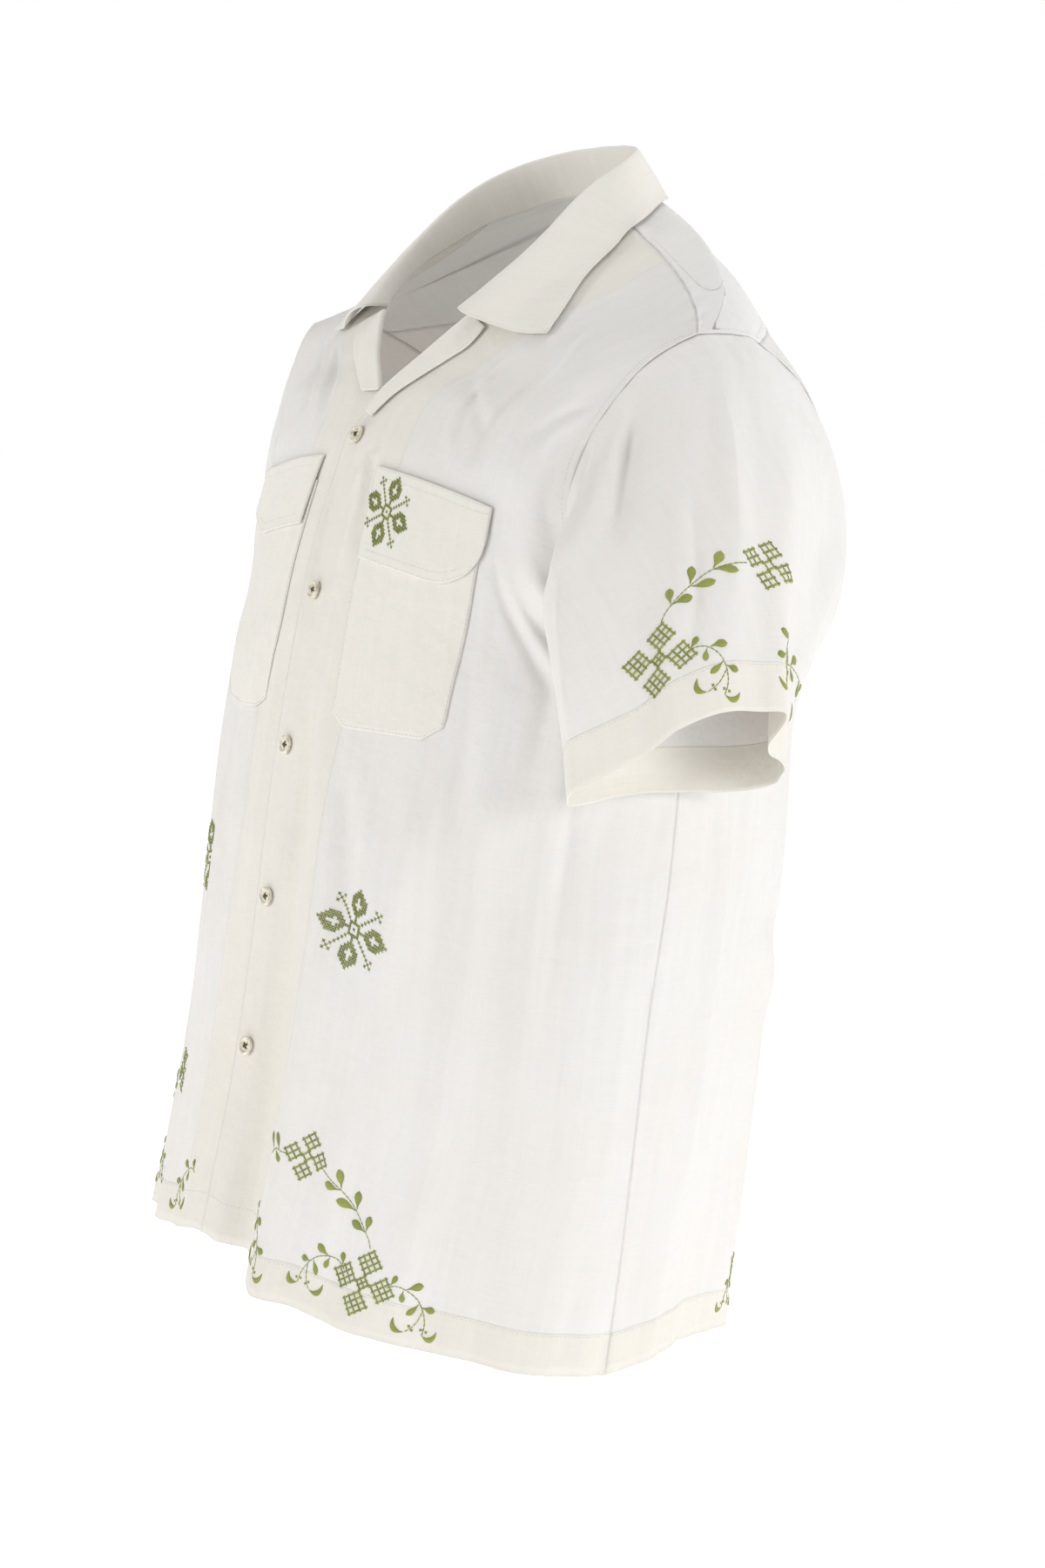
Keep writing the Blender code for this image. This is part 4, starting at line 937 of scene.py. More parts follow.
def thread_rings(starts, ends, bows, width, height, lift, arch, profile, sides, flat_side=0.35):
    """Threads or satin leaves as closed spindles in the cloth's own lengths: each follows a bowed line from start to
    end, is an ellipse across, and stands on an arch over the cloth. Returns u, v and heights."""
    count, rings = len(starts), len(profile)
    t = np.linspace(0, 1, rings + 2)[1:-1]

    def column(value):
        return np.broadcast_to(value, (count,))[:, None]

    way = ends - starts
    length = np.maximum(np.linalg.norm(way, axis=-1, keepdims=True), 1e-9)
    ahead = way / length
    left = np.stack([-ahead[:, 1], ahead[:, 0]], -1)
    bow = column(bows)
    middle = starts[:, None] + way[:, None] * t[:, None] + (bow * 4 * t * (1 - t))[..., None] * left[:, None]
    slope = ahead[:, None] * length[:, None] + (bow * 4 * (1 - 2 * t))[..., None] * left[:, None]
    slope = unit(slope)
    across = np.stack([-slope[..., 1], slope[..., 0]], -1)
    around = np.linspace(0, 2 * np.pi, sides, endpoint=False)
    wide = column(width) / 2 * profile
    high = column(height) * profile**0.6
    base = column(lift) + column(arch) * 4 * t * (1 - t)
    flat = middle[:, :, None] + across[:, :, None] * (wide[..., None] * np.cos(around))[..., None]
    rise = np.sin(around)
    up = base[..., None] + high[..., None] * np.where(rise > 0, rise, rise * flat_side)
    uv = np.concatenate([starts[:, None], flat.reshape(count, -1, 2), ends[:, None]], 1)
    heights = np.concatenate([column(lift), up.reshape(count, -1), column(lift)], 1)
    run = np.broadcast_to(t[:, None], (rings, sides)).ravel()
    side_of = np.broadcast_to(np.cos(around), (rings, sides)).ravel()
    own_u = np.concatenate([[0], run, [1]])[None] * length
    own_v = np.concatenate([[0], side_of, [0]])[None] * column(width) / 2
    return uv, heights, np.stack([own_u, own_v], -1)


def ring_quads(rings, sides, first=0, backwards=False):
    """Quads between rings of points that follow one another, the first of them starting at this point."""
    here = first + np.arange(rings - 1)[:, None] * sides
    a, b = np.arange(sides), np.roll(np.arange(sides), -1)
    quads = np.stack([here + a, here + b, here + sides + b, here + sides + a], -1).reshape(-1, 4)
    return (quads[:, [0, 3, 2, 1]] if backwards else quads).tolist()


def fan(tip, first, sides, backwards=False):
    """Triangles from a tip to the ring of points that starts at this point."""
    pairs = [(first + k, first + (k + 1) % sides) for k in range(sides)]
    return [[tip, *(pair[::-1] if backwards else pair)] for pair in pairs]


def spindle_faces(rings, sides):
    """Faces of one spindle: a fan at each end and rows of quads between."""
    last = 1 + (rings - 1) * sides
    return fan(0, 1, sides, backwards=True) + ring_quads(rings, sides, 1) + fan(last + sides, last, sides)


class Threads:
    """Gathers spindles laid on sheets, and joins them into one mesh."""

    def __init__(self):
        self.points, self.faces, self.uv, self.shade, self.total = [], [], [], [], 0

    def lay(self, grid, starts, ends, bows=0.0, width=0.0005, height=0.0002, lift=0.0002, arch=0.0001,
            profile=(0.75, 1.0, 0.75), sides=6, shades=None):
        starts, ends = np.atleast_2d(np.asarray(starts, float)), np.atleast_2d(np.asarray(ends, float))
        if len(starts) == 0:
            return
        profile = np.asarray(profile, float)
        uv, heights, own = thread_rings(starts, ends, bows, width, height, lift, arch, profile, sides)
        placed = on_cloth(grid, uv[..., 0], uv[..., 1], heights)
        count, each = placed.shape[:2]
        template = spindle_faces(len(profile), sides)
        if grid["hand"] < 0:
            template = [face[::-1] for face in template]
        for size in (3, 4):
            faces = np.array([face for face in template if len(face) == size])
            moved = faces[None] + (self.total + np.arange(count) * each)[:, None, None]
            self.faces.append(moved.reshape(-1, size))
            self.uv.append(own[:, faces.reshape(-1)].reshape(-1, 2))
        if shades is None:
            shades = 0.5 + 0.5 * np.sin(np.arange(count) * 12.9898 + starts[:, 0] * 700)
        self.shade.append(np.repeat(np.broadcast_to(shades, (count,)), each))
        self.points.append(placed.reshape(-1, 3))
        self.total += count * each

    def run(self, grid, path, pitch, share=0.8, **how):
        """Stitches of one length along a path of u and v."""
        path = np.asarray(path, float)
        steps = np.linalg.norm(np.diff(path, axis=0), axis=-1)
        reached = np.concatenate([[0], np.cumsum(steps)])
        count = max(int(reached[-1] / pitch), 1)
        begin = np.arange(count) * reached[-1] / count
        end = begin + reached[-1] / count * share
        ends = [np.stack([np.interp(s, reached, path[:, k]) for k in (0, 1)], -1) for s in (begin, end)]
        self.lay(grid, ends[0], ends[1], **how)

    def joined(self, name, material, slot):
        faces = [list(face) for group in self.faces for face in group.tolist()]
        points, uv, shade = (np.concatenate(parts) for parts in (self.points, self.uv, self.shade))
        made = new_object(name, points, faces, uv, shade)
        made.data.materials.append(material)
        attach(made, "root")
        return made


# Finishes


class Wire:
    """A socket whose sums and products add Math nodes."""

    def __init__(self, recipe, socket):
        self.recipe, self.socket = recipe, socket

    def math(self, operation, *values):
        return self.recipe.add("ShaderNodeMath", {"operation": operation}, dict(enumerate(values)))[0]

    def __add__(self, other):
        return self.math("ADD", self, other)

    def __radd__(self, other):
        return self.math("ADD", other, self)

    def __sub__(self, other):
        return self.math("SUBTRACT", self, other)

    def __rsub__(self, other):
        return self.math("SUBTRACT", other, self)

    def __mul__(self, other):
        return self.math("MULTIPLY", self, other)

    def __rmul__(self, other):
        return self.math("MULTIPLY", other, self)

    def __truediv__(self, other):
        return self.math("DIVIDE", self, other)

    def __pow__(self, other):
        return self.math("POWER", self, other)

    def sine(self):
        return self.math("SINE", self)

    def size(self):
        return self.math("ABSOLUTE", self)

    def at_most(self, other):
        return self.math("MINIMUM", self, other)

    def at_least(self, other):
        return self.math("MAXIMUM", self, other)

    def kept(self):
        """Held between 0 and 1."""
        return self.at_least(0.0).at_most(1.0)


class Recipe:
    """A material's node tree, filled by expressions."""

    def __init__(self, name):
        self.material = bpy.data.materials.new(name)
        self.material.use_nodes = True
        self.tree = self.material.node_tree
        self.shader = self.tree.nodes["Principled BSDF"]
        self.output = self.tree.nodes["Material Output"]

    def add(self, kind, settings=None, values=None):
        """A node of this type: first its settings, then its sockets' values or links. Returns its outputs."""
        node = self.tree.nodes.new(kind)
        for name, value in (settings or {}).items():
            setattr(node, name, value)
        for key, value in (values or {}).items():
            self.feed(node.inputs[key], value)
        return [Wire(self, socket) for socket in node.outputs]

    def feed(self, socket, value):
        if isinstance(value, Wire):
            self.tree.links.new(value.socket, socket)
        else:
            socket.default_value = value

    def flat(self):
        """The cloth's own lengths across and up, in metres."""
        uv = self.add("ShaderNodeUVMap", {"uv_map": "flat"})[0]
        parts = self.add("ShaderNodeSeparateXYZ", None, {0: uv})
        return parts[0], parts[1]

    def place(self):
        return self.add("ShaderNodeTexCoord")[3]

    def noise(self, vector, scale, detail=2.0, roughness=0.5):
        """Noise from 0 to 1."""
        values = {"Vector": vector, "Scale": scale, "Detail": detail, "Roughness": roughness}
        return self.add("ShaderNodeTexNoise", None, values)[0]

    def vector(self, x, y, z=0.0):
        return self.add("ShaderNodeCombineXYZ", None, {0: x, 1: y, 2: z})[0]

    def blend(self, share, first, second):
        """A colour between two."""
        return self.add("ShaderNodeMix", {"data_type": "RGBA"}, {0: share, 6: first, 7: second})[2]

    def darkened(self, base, share):
        """A colour times one number."""
        grey = self.add("ShaderNodeCombineColor", None, {0: share, 1: share, 2: share})[0]
        how = {"data_type": "RGBA", "blend_type": "MULTIPLY"}
        return self.add("ShaderNodeMix", how, {0: 1.0, 6: base, 7: grey})[2]

    def relief(self, height):
        """Bump from a height in metres."""
        normal = self.add("ShaderNodeBump", None, {"Strength": 1.0, "Distance": 1.0, "Height": height})[0]
        self.feed(self.shader.inputs["Normal"], normal)
        return normal

    def set(self, **values):
        for name, value in values.items():
            self.feed(self.shader.inputs[name.replace("_", " ")], value)


# Weave: cells of the yarns' noise across and along them, waves of the plain weave, and how sharp a hem's edge is,
# all to a metre
YARN_ACROSS, YARN_ALONG = 1400.0, 26.0
SLUB_ACROSS, SLUB_ALONG = 160.0, 5.0
WEAVE = 8900.0
BAND_EDGE = 1600.0


def cotton(name, band=0.0, facing=0.0, all_doubled=False):
    """Thin slubbed cotton: a plain weave, long uneven yarns both ways, soft crumples, soft clouds of painted light
    where the single cloth is paler as if light came through it, and a creamier colour and a small step where a hem or
    facing doubles the cloth."""
    colours = bpy.context.scene.shirt_colours
    recipe = Recipe(name)
    u, v = recipe.flat()
    place = recipe.place()
    warp = recipe.noise(recipe.vector(u * YARN_ACROSS, v * YARN_ALONG), 1.0, 2.0)
    weft = recipe.noise(recipe.vector(u * YARN_ALONG, v * YARN_ACROSS, 7.0), 1.0, 2.0)
    yarns = warp + weft - 1.0
    streak = recipe.noise(recipe.vector(u * SLUB_ACROSS, v * SLUB_ALONG, 3.0), 1.0, 1.0) - 0.5
    painted_light_cloud = recipe.noise(place, 7.0, 2.0)
    weave = (u * WEAVE).sine() * (v * WEAVE).sine()
    crumple = recipe.noise(place, 42.0, 3.0, 0.55)
    fine = recipe.noise(place, 150.0, 2.0, 0.5)
    doubled = None
    if all_doubled:
        doubled = 1.0
    else:
        if band:
            doubled = ((band - v) * BAND_EDGE + 0.5).kept()
        if facing:
            edge = ((facing - u.size()) * BAND_EDGE + 0.5).kept()
            doubled = edge if doubled is None else doubled.at_least(edge)
    # Painted light: in soft random clouds the single cloth turns to the paler cotton, as if more light came through
    # it.
    shade = ((painted_light_cloud - 0.42) * 3.0).kept()
    base = recipe.blend(shade, tuple(colours.cotton), tuple(colours.pale_cotton))
    if all_doubled:
        base = recipe.blend(0.6, base, tuple(colours.doubled))
    elif doubled is not None:
        base = recipe.blend(doubled * 0.65, base, tuple(colours.doubled))
    tone = yarns * 0.07 + streak * 0.05 + 1.0
    base = recipe.darkened(base, tone)
    height = weave * 0.00001 + yarns * 0.00003 + crumple * 0.0018 + fine * 0.0002
    if doubled is not None and not all_doubled:
        height = height + doubled * 0.0003
    recipe.set(Base_Color=base, Roughness=(yarns * 0.1 + 0.82), Sheen_Weight=0.22, Sheen_Roughness=0.5)
    recipe.set(Specular_IOR_Level=0.25)
    normal = recipe.relief(height)
    warm = recipe.blend(0.3, base, (0.95, 0.80, 0.66, 1))
    glow = recipe.add("ShaderNodeBsdfTranslucent", None, {"Color": warm, "Normal": normal})[0]
    if all_doubled:
        share = 0.10
    else:
        share = 0.16 if doubled is None else 0.26 - doubled * 0.12
    mixed = recipe.add("ShaderNodeMixShader", None, {0: share, 1: Wire(recipe, recipe.shader.outputs[0]), 2: glow})[0]
    recipe.feed(recipe.output.inputs["Surface"], mixed)
    return recipe.material


def twisted_thread(name, light, deep, pitch, rough, lines):
    """Twisted thread: fine slanting strands across its own length, bumped and also painted, lighter on each strand and
    with painted shade in the grooves between them, and a shade of colour that changes at random from stitch to stitch.
    """
    recipe = Recipe(name)
    u, v = recipe.flat()
    own = recipe.add("ShaderNodeAttribute", {"attribute_name": "shade"})[2]
    strands = (u * (6.2832 / pitch) + v * (3.0 / pitch)).sine()
    grain = recipe.noise(recipe.place(), 900.0, 2.0)
    # Painted shade along the twist: the strands' sine, times lines, makes the thread lighter on each strand and darker
    # in the grooves between; the stitch's own shade and the grain vary its tone at random.
    share = (own * 0.55 + grain * 0.5 + strands * lines - 0.05).kept()
    recipe.set(Base_Color=recipe.blend(share, deep, light), Roughness=(grain * 0.2 + rough), Sheen_Weight=0.15)
    recipe.relief(strands * 0.00005 + grain * 0.00005)
    return recipe.material


def polished_button():
    """Cream button with faint clouds and a soft polish, painted nearly black in the shallow dips of its holes: painted
    shade that stands in for the dark of a hole through it.
    """
    colours = bpy.context.scene.shirt_colours
    recipe = Recipe("cream_button")
    painted_hole_shade = recipe.add("ShaderNodeAttribute", {"attribute_name": "shade"})[2]
    swirl = recipe.noise(recipe.place(), 260.0, 3.0, 0.6)
    base = recipe.blend(((swirl - 0.42) * 4.0).kept(), tuple(colours.button), tuple(colours.button_rim))
    # Painted shade: nearly black in the holes' shallow dips, standing in for the dark of a hole through the button.
    base = recipe.blend(painted_hole_shade, base, (0.035, 0.03, 0.018, 1))
    recipe.set(Base_Color=base, Roughness=(swirl * 0.15 + 0.22))
    recipe.shader.inputs["Coat Weight"].default_value = 0.3
    recipe.relief(swirl * 0.00006)
    return recipe.material


# Operators


class SHIRT_OT_fronts(bpy.types.Operator):
    """Makes the two fronts with their facings and hem bands"""

    bl_idname = "shirt.make_fronts"
    bl_label = "Fronts"

    def execute(self, context):
        grids, sizes = shirt_grids(), context.scene.shirt_sizes
        for side in ("left", "right"):
            material = cotton("front_cotton_" + side, sizes.hem_band, sizes.facing)
            name = "front_" + side
            made = cloth_sheet("cloth_" + name, [grids[name]], sizes.cloth, material, [name])
        return {"FINISHED"}


class SHIRT_OT_back(bpy.types.Operator):
    """Makes the back and the yoke"""

    bl_idname = "shirt.make_back"
    bl_label = "Back and Yoke"

    def execute(self, context):
        grids, sizes = shirt_grids(), context.scene.shirt_sizes
        halves = [grids["back_left"], grids["back_right"]]
        back = cloth_sheet("cloth_back", halves, sizes.cloth, cotton("back_cotton", sizes.hem_band), ["back"])
        halves = [grids["yoke_left"], grids["yoke_right"]]
        yoke = cloth_sheet("cloth_yoke", halves, sizes.cloth, cotton("yoke_cotton"), ["yoke"])
        return {"FINISHED"}


class SHIRT_OT_sleeves(bpy.types.Operator):
    """Makes the two sleeves with their hem bands"""

    bl_idname = "shirt.make_sleeves"
    bl_label = "Sleeves"

    def execute(self, context):
        grids, sizes = shirt_grids(), context.scene.shirt_sizes
        for side in ("left", "right"):
            material = cotton("sleeve_cotton_" + side, sizes.sleeve_band)
            name = "sleeve_" + side
            made = cloth_sheet("cloth_" + name, [grids[name]], sizes.cloth, material, [name], mirrored_u=False)
        return {"FINISHED"}


class SHIRT_OT_collar(bpy.types.Operator):
    """Makes the collar and the lapels"""

    bl_idname = "shirt.make_collar"
    bl_label = "Collar and Lapels"

    def execute(self, context):
        grids, sizes = shirt_grids(), context.scene.shirt_sizes
        material = cotton("collar_cotton", all_doubled=True)
        halves = [grids["collar_left"], grids["collar_right"]]
        collar = cloth_sheet("cloth_collar", halves, sizes.doubled_cloth, material, ["collar"])
        for side in ("left", "right"):
            name = "lapel_" + side
            made = cloth_sheet("cloth_" + name, [grids[name]], sizes.doubled_cloth, material, [name])
        return {"FINISHED"}


class SHIRT_OT_pockets(bpy.types.Operator):
    """Makes the patch pockets and their flaps"""

    bl_idname = "shirt.make_pockets"
    bl_label = "Pockets"

    def execute(self, context):
        grids, sizes = shirt_grids(), context.scene.shirt_sizes
        doubled, single = cotton("flap_cotton", all_doubled=True), cotton("pocket_cotton", all_doubled=True)
        for side in ("left", "right"):
            name = "pocket_" + side
            made = cloth_sheet("cloth_" + name, [grids[name]], sizes.cloth, single, [name])
            name = "flap_" + side
            made = cloth_sheet("cloth_" + name, [grids[name]], sizes.doubled_cloth, doubled, [name])
        return {"FINISHED"}


def row_path(grid, row, first=0, last=None):
    """The u and v of the points of one row."""
    return np.stack([grid["u"][row, first:last], grid["v"][row, first:last]], -1)


def column_path(grid, column, first=0, last=None):
    """The u and v of the points of one column."""
    return np.stack([grid["u"][first:last, column], grid["v"][first:last, column]], -1)


def level_path(first, last, v, count=200):
    """A straight path across a sheet at one v."""
    return np.stack([np.linspace(first, last, count), np.full(count, v)], -1)


# How far the rows of topstitching lie from their edges, for a flap with the points where each row starts and stops,
# and how deep a stitch sinks into the cloth
BAND_INSET = 0.0015
SIDE_INSET = 0.0058
YOKE_BACK_INSET = 0.0055
YOKE_FRONT_INSET = 0.0050
POCKET_INSET = 0.0018
FLAP_ROWS = ((0.0016, 1, -4), (0.0066, 3, -9))
STITCH_SINK = 0.00002


class SHIRT_OT_topstitching(bpy.types.Operator):
    """Sews the rows of topstitching along hems, seams, pockets and flaps"""

    bl_idname = "shirt.sew_topstitching"
    bl_label = "Topstitching"

    def execute(self, context):
        grids, sizes, colours = shirt_grids(), context.scene.shirt_sizes, context.scene.shirt_colours
        threads, pitch = Threads(), sizes.stitch
        how = {"width": sizes.stitch_width, "height": 0.00018, "lift": sizes.cloth / 2 - STITCH_SINK, "arch": 0.00005}
        thick = dict(how, lift=sizes.doubled_cloth / 2 - STITCH_SINK)
        low = len(LOW_LEVELS)
        for side in ("left", "right"):
            front, back, yoke = grids["front_" + side], grids["back_" + side], grids["yoke_" + side]
            for grid in (front, back):
                first, last = grid["u"][8, 0] + 0.002, grid["u"][8, -1] - 0.001
                threads.run(grid, level_path(first, last, sizes.hem_band - BAND_INSET), pitch, **how)
            sleeve = grids["sleeve_" + side]
            last = sleeve["u"][-12, -1] - 0.001
            threads.run(sleeve, level_path(0.001, last, sizes.sleeve_band - BAND_INSET, 240), pitch, **how)
            for grid, first in ((front, low + 3), (back, low + 3), (yoke, 1)):
                edge = column_path(grid, -1, first, -1) - np.array([SIDE_INSET, 0])
                threads.run(grid, edge, pitch, **how)
            seam = row_path(yoke, 0, 2, -3) + np.array([0, YOKE_BACK_INSET])
            threads.run(yoke, seam, pitch, **how)
            seam = row_path(yoke, -1, 18, -3) - np.array([0, YOKE_FRONT_INSET])
            threads.run(yoke, seam, pitch, **how)
            pocket, flap = grids["pocket_" + side], grids["flap_" + side]
            inset = np.array([POCKET_INSET, 0])
            threads.run(pocket, column_path(pocket, 0, 1) + inset, pitch, **how)
            threads.run(pocket, column_path(pocket, -1, 1) - inset, pitch, **how)
            threads.run(pocket, row_path(pocket, 0, 1, -1) + inset[::-1], pitch, **how)
            for gap, start, stop in FLAP_ROWS:
                threads.run(flap, row_path(flap, 0, start, stop) + np.array([0, gap]), pitch, **thick)
                threads.run(flap, row_path(flap, -1, start, -1) - np.array([0, gap]), pitch, **thick)
        # The darker end is the sewing thread times 0.8: a darker tone mixed in at random, and the painted shade in the
        # grooves between strands.
        light, deep = tuple(colours.sewing_thread), tuple(c * 0.8 for c in colours.sewing_thread[:3]) + (1,)
        material = twisted_thread("sewing_thread", light, deep, 0.0006, 0.55, 0.15)
        threads.joined("topstitching", material, "back")
        return {"FINISHED"}


def flower_chart():
    """A counted flower of four ringed petals, four diagonal arms and a small centre, as cells of a square chart."""
    spans = [(0, 0), (0, 1), (0, 2), (1, 3), (2, 3), (1, 3), (1, 3), (0, 2), (0, 1), (0, 0)]
    halves = [(x, y) for y, (low, high) in enumerate(spans, 4) for x in range(low, high + 1)]
    petal = {(sign * x, y) for x, y in halves for sign in (1, -1)}
    arm = [(k, k) for k in range(3, 9)] + [(9, 7), (7, 9), (9, 9)]
    square = [(x, 2) for x in range(-1, 3)] + [(0, 3)]
    quarter = np.array(sorted(petal) + arm + square, float)
    turned = [quarter]
    for _ in range(3):
        turned.append(np.stack([-turned[-1][:, 1], turned[-1][:, 0]], -1))
    return np.concatenate(turned + [np.zeros((1, 2))])


def turned_by(points, degrees):
    """Points turned counter-clockwise in u and v."""
    turn = np.radians(degrees)
    rule = np.array([[np.cos(turn), np.sin(turn)], [-np.sin(turn), np.cos(turn)]])
    return np.asarray(points, float) @ rule


# Where the flowers and sprays stand in u and v, the turns of each spray's vine, lattices and scrolls in degrees, and
# how deep the floss sinks into the cloth
FRONT_FLOWERS = {"left": (0.1007, 0.2324), "right": (0.148, 0.234)}
FLAP_FLOWER = (0.0235, 0.0325)
FRONT_SPRAYS = {"left": (0.158, 0.031), "right": (0.225, 0.031)}
EDGE_SCROLL = (0.030, 0.034)
FRONT_TURNS = (14, -6, -5)
BACK_SPRAY, BACK_TURNS = (0.158, 0.032), (6, 0, 0)
SLEEVE_SPRAY, SLEEVE_TURNS = (0.170, 0.0456), (-33, -23, -28)
SLEEVE_BACK_SPRAY, SLEEVE_BACK_TURNS = (0.289, 0.0456), (20, 20, 14)
FLOSS_SINK = 0.00005


def sew_flower(threads, grid, centre, degrees, cross, floss, lift, wider):
    """A counted flower. Each cell is two crossing stitches, the second over the first, and wider stretches them in
    u."""
    chart = flower_chart() * cross
    middle = np.array(centre) + turned_by(chart, degrees) * (wider, 1)
    for k, (x, y) in enumerate(((1, 1), (1, -1))):
        arm = turned_by(np.array([[x, y]]) * cross * 0.55, degrees) * (wider, 1)
        threads.lay(grid, middle - arm, middle + arm, width=floss, height=0.00034,
                    lift=lift + 0.00012 * k, arch=0.00022 + 0.00012 * k)


# One spray in centimetres: a lattice of crossing threads at its foot, a vine to a smaller lattice, and two scrolls.
# A leaf is its stalk's end, its tip and its width. A crescent also has its bow.
VINE = [(0.45, 2.0), (0.32, 2.6), (0.08, 3.02), (-0.57, 4.23), (-1.46, 5.37), (-2.9, 6.44)]
VINE_LEAVES = [
    (0.08, 3.00, -0.89, 3.66, 0.50),
    (0.12, 3.02, 0.46, 3.98, 0.50),
    (-0.57, 4.20, -1.80, 4.76, 0.50),
    (-0.55, 4.25, -0.38, 5.44, 0.52),
    (-1.46, 5.35, -2.66, 5.72, 0.46),
    (-1.44, 5.40, -1.55, 6.60, 0.54),
]
TOP_VINE = [(-5.3, 7.4), (-6.2, 7.5), (-6.8, 6.9)]
TOP_LEAVES = [(-5.9, 7.5, -6.2, 8.4, 0.44), (-6.3, 7.4, -5.9, 6.8, 0.38), (-6.5, 7.3, -7.1, 8.0, 0.4)]
SCROLL = [(1.45, 0.62), (1.9, 0.95), (2.51, 1.0), (3.28, 0.62), (3.81, -0.09), (4.11, -0.85), (4.14, -1.5)]
SCROLL_BRANCH = [(3.78, -0.05), (3.68, -0.7), (3.57, -1.05), (3.21, -1.52)]
SCROLL_LEAVES = [
    (1.66, 0.85, 1.91, 1.60, 0.36),
    (2.60, 0.98, 3.45, 1.42, 0.46),
    (2.50, 0.95, 2.62, 0.15, 0.34),
    (3.65, 0.15, 4.40, 0.10, 0.40),
    (3.50, 0.40, 3.00, -0.50, 0.36),
]
CRESCENTS = [(3.24, -1.50, 2.42, -0.78, 0.34, 0.42), (4.12, -1.45, 4.86, -0.98, 0.34, -0.40)]
DOTS = [(3.55, -1.30), (3.35, -1.10), (4.0, -1.15), (4.3, -1.2)]
# Metres to a centimetre of the spray in u and v, which widens it a little. A lattice is the side of its squares, half
# of how far apart they lie, and their lines each way. A stem's stitches cover more than their pitch, so they overlap.
SPREAD = np.array([0.0115, 0.01])
LATTICE_CELLS = [(1, 1), (-1, 1), (1, -1), (-1, -1)]
FOOT_LATTICE = (1.04, 0.90, 4)
TOP_LATTICE, TOP_LATTICE_AT = (0.74, 0.66, 3), (-4.05, 7.2)
SCROLL_DROP = 0.4
VINE_PITCH, STEM_PITCH = 0.0030, 0.0028
STEM_SHARE = 1.3


def sew_lattice(threads, grid, centre, size, apart, lines, degrees, sizes, lift):
    """Four squares of crossing threads that stand on their corners round a smaller one, all turned together. Each
    thread is a row of stitches that end at the crossings, and runs a little past the square."""
    degrees = degrees + 45
    squares = [(np.array(cell) * apart, size, lines) for cell in LATTICE_CELLS]
    for place, side, count in squares + [(np.zeros(2), size * 0.54, lines - 1)]:
        steps = np.linspace(-0.5, 0.5, count) * side
        gap = steps[1] - steps[0]
        cuts = np.concatenate([[steps[0] - gap * 0.36], steps, [steps[-1] + gap * 0.36]])
        fixed, moving = np.meshgrid(steps, np.arange(count + 1), indexing="ij")
        fixed, moving = fixed.ravel(), moving.ravel()
        begin, end = np.stack([fixed, cuts[moving]], -1), np.stack([fixed, cuts[moving + 1]], -1)
        for k in (0, 1):
            rows = [turned_by((p[:, ::-1] if k else p) + place, degrees) * SPREAD + centre for p in (begin, end)]
            reach = (rows[1] - rows[0]) * 0.12
            threads.lay(grid, rows[0] - reach, rows[1] + reach, width=sizes.floss * 1.35, height=0.00036,
                        lift=lift + 0.0001 * k, arch=0.00016 + 0.0001 * k, profile=(0.8, 1.0, 0.8))


def curve(points, count=60):
    """A smooth line through a few points."""
    points, at = np.asarray(points, float), np.linspace(0, len(points) - 1, count)
    return np.stack([between(points[:, k], at) for k in (0, 1)], -1)


def sew_leaves(threads, grid, rows, place, lift):
    """Satin leaves: domes on a thin stalk that swell towards a round tip."""
    rows = np.array(rows, float)
    swell = np.array([0.16, 0.24, 0.52, 0.82, 1.0, 0.98, 0.72])
    order = np.arange(len(rows))
    threads.lay(grid, place(rows[:, :2]), place(rows[:, 2:4]), bows=np.sin(order * 2.1) * 0.0006,
                width=rows[:, 4] * 0.0105, height=0.0007, lift=lift, arch=0.0002, profile=swell, sides=8,
                shades=0.25 + 0.6 * (order * 0.38 % 1))


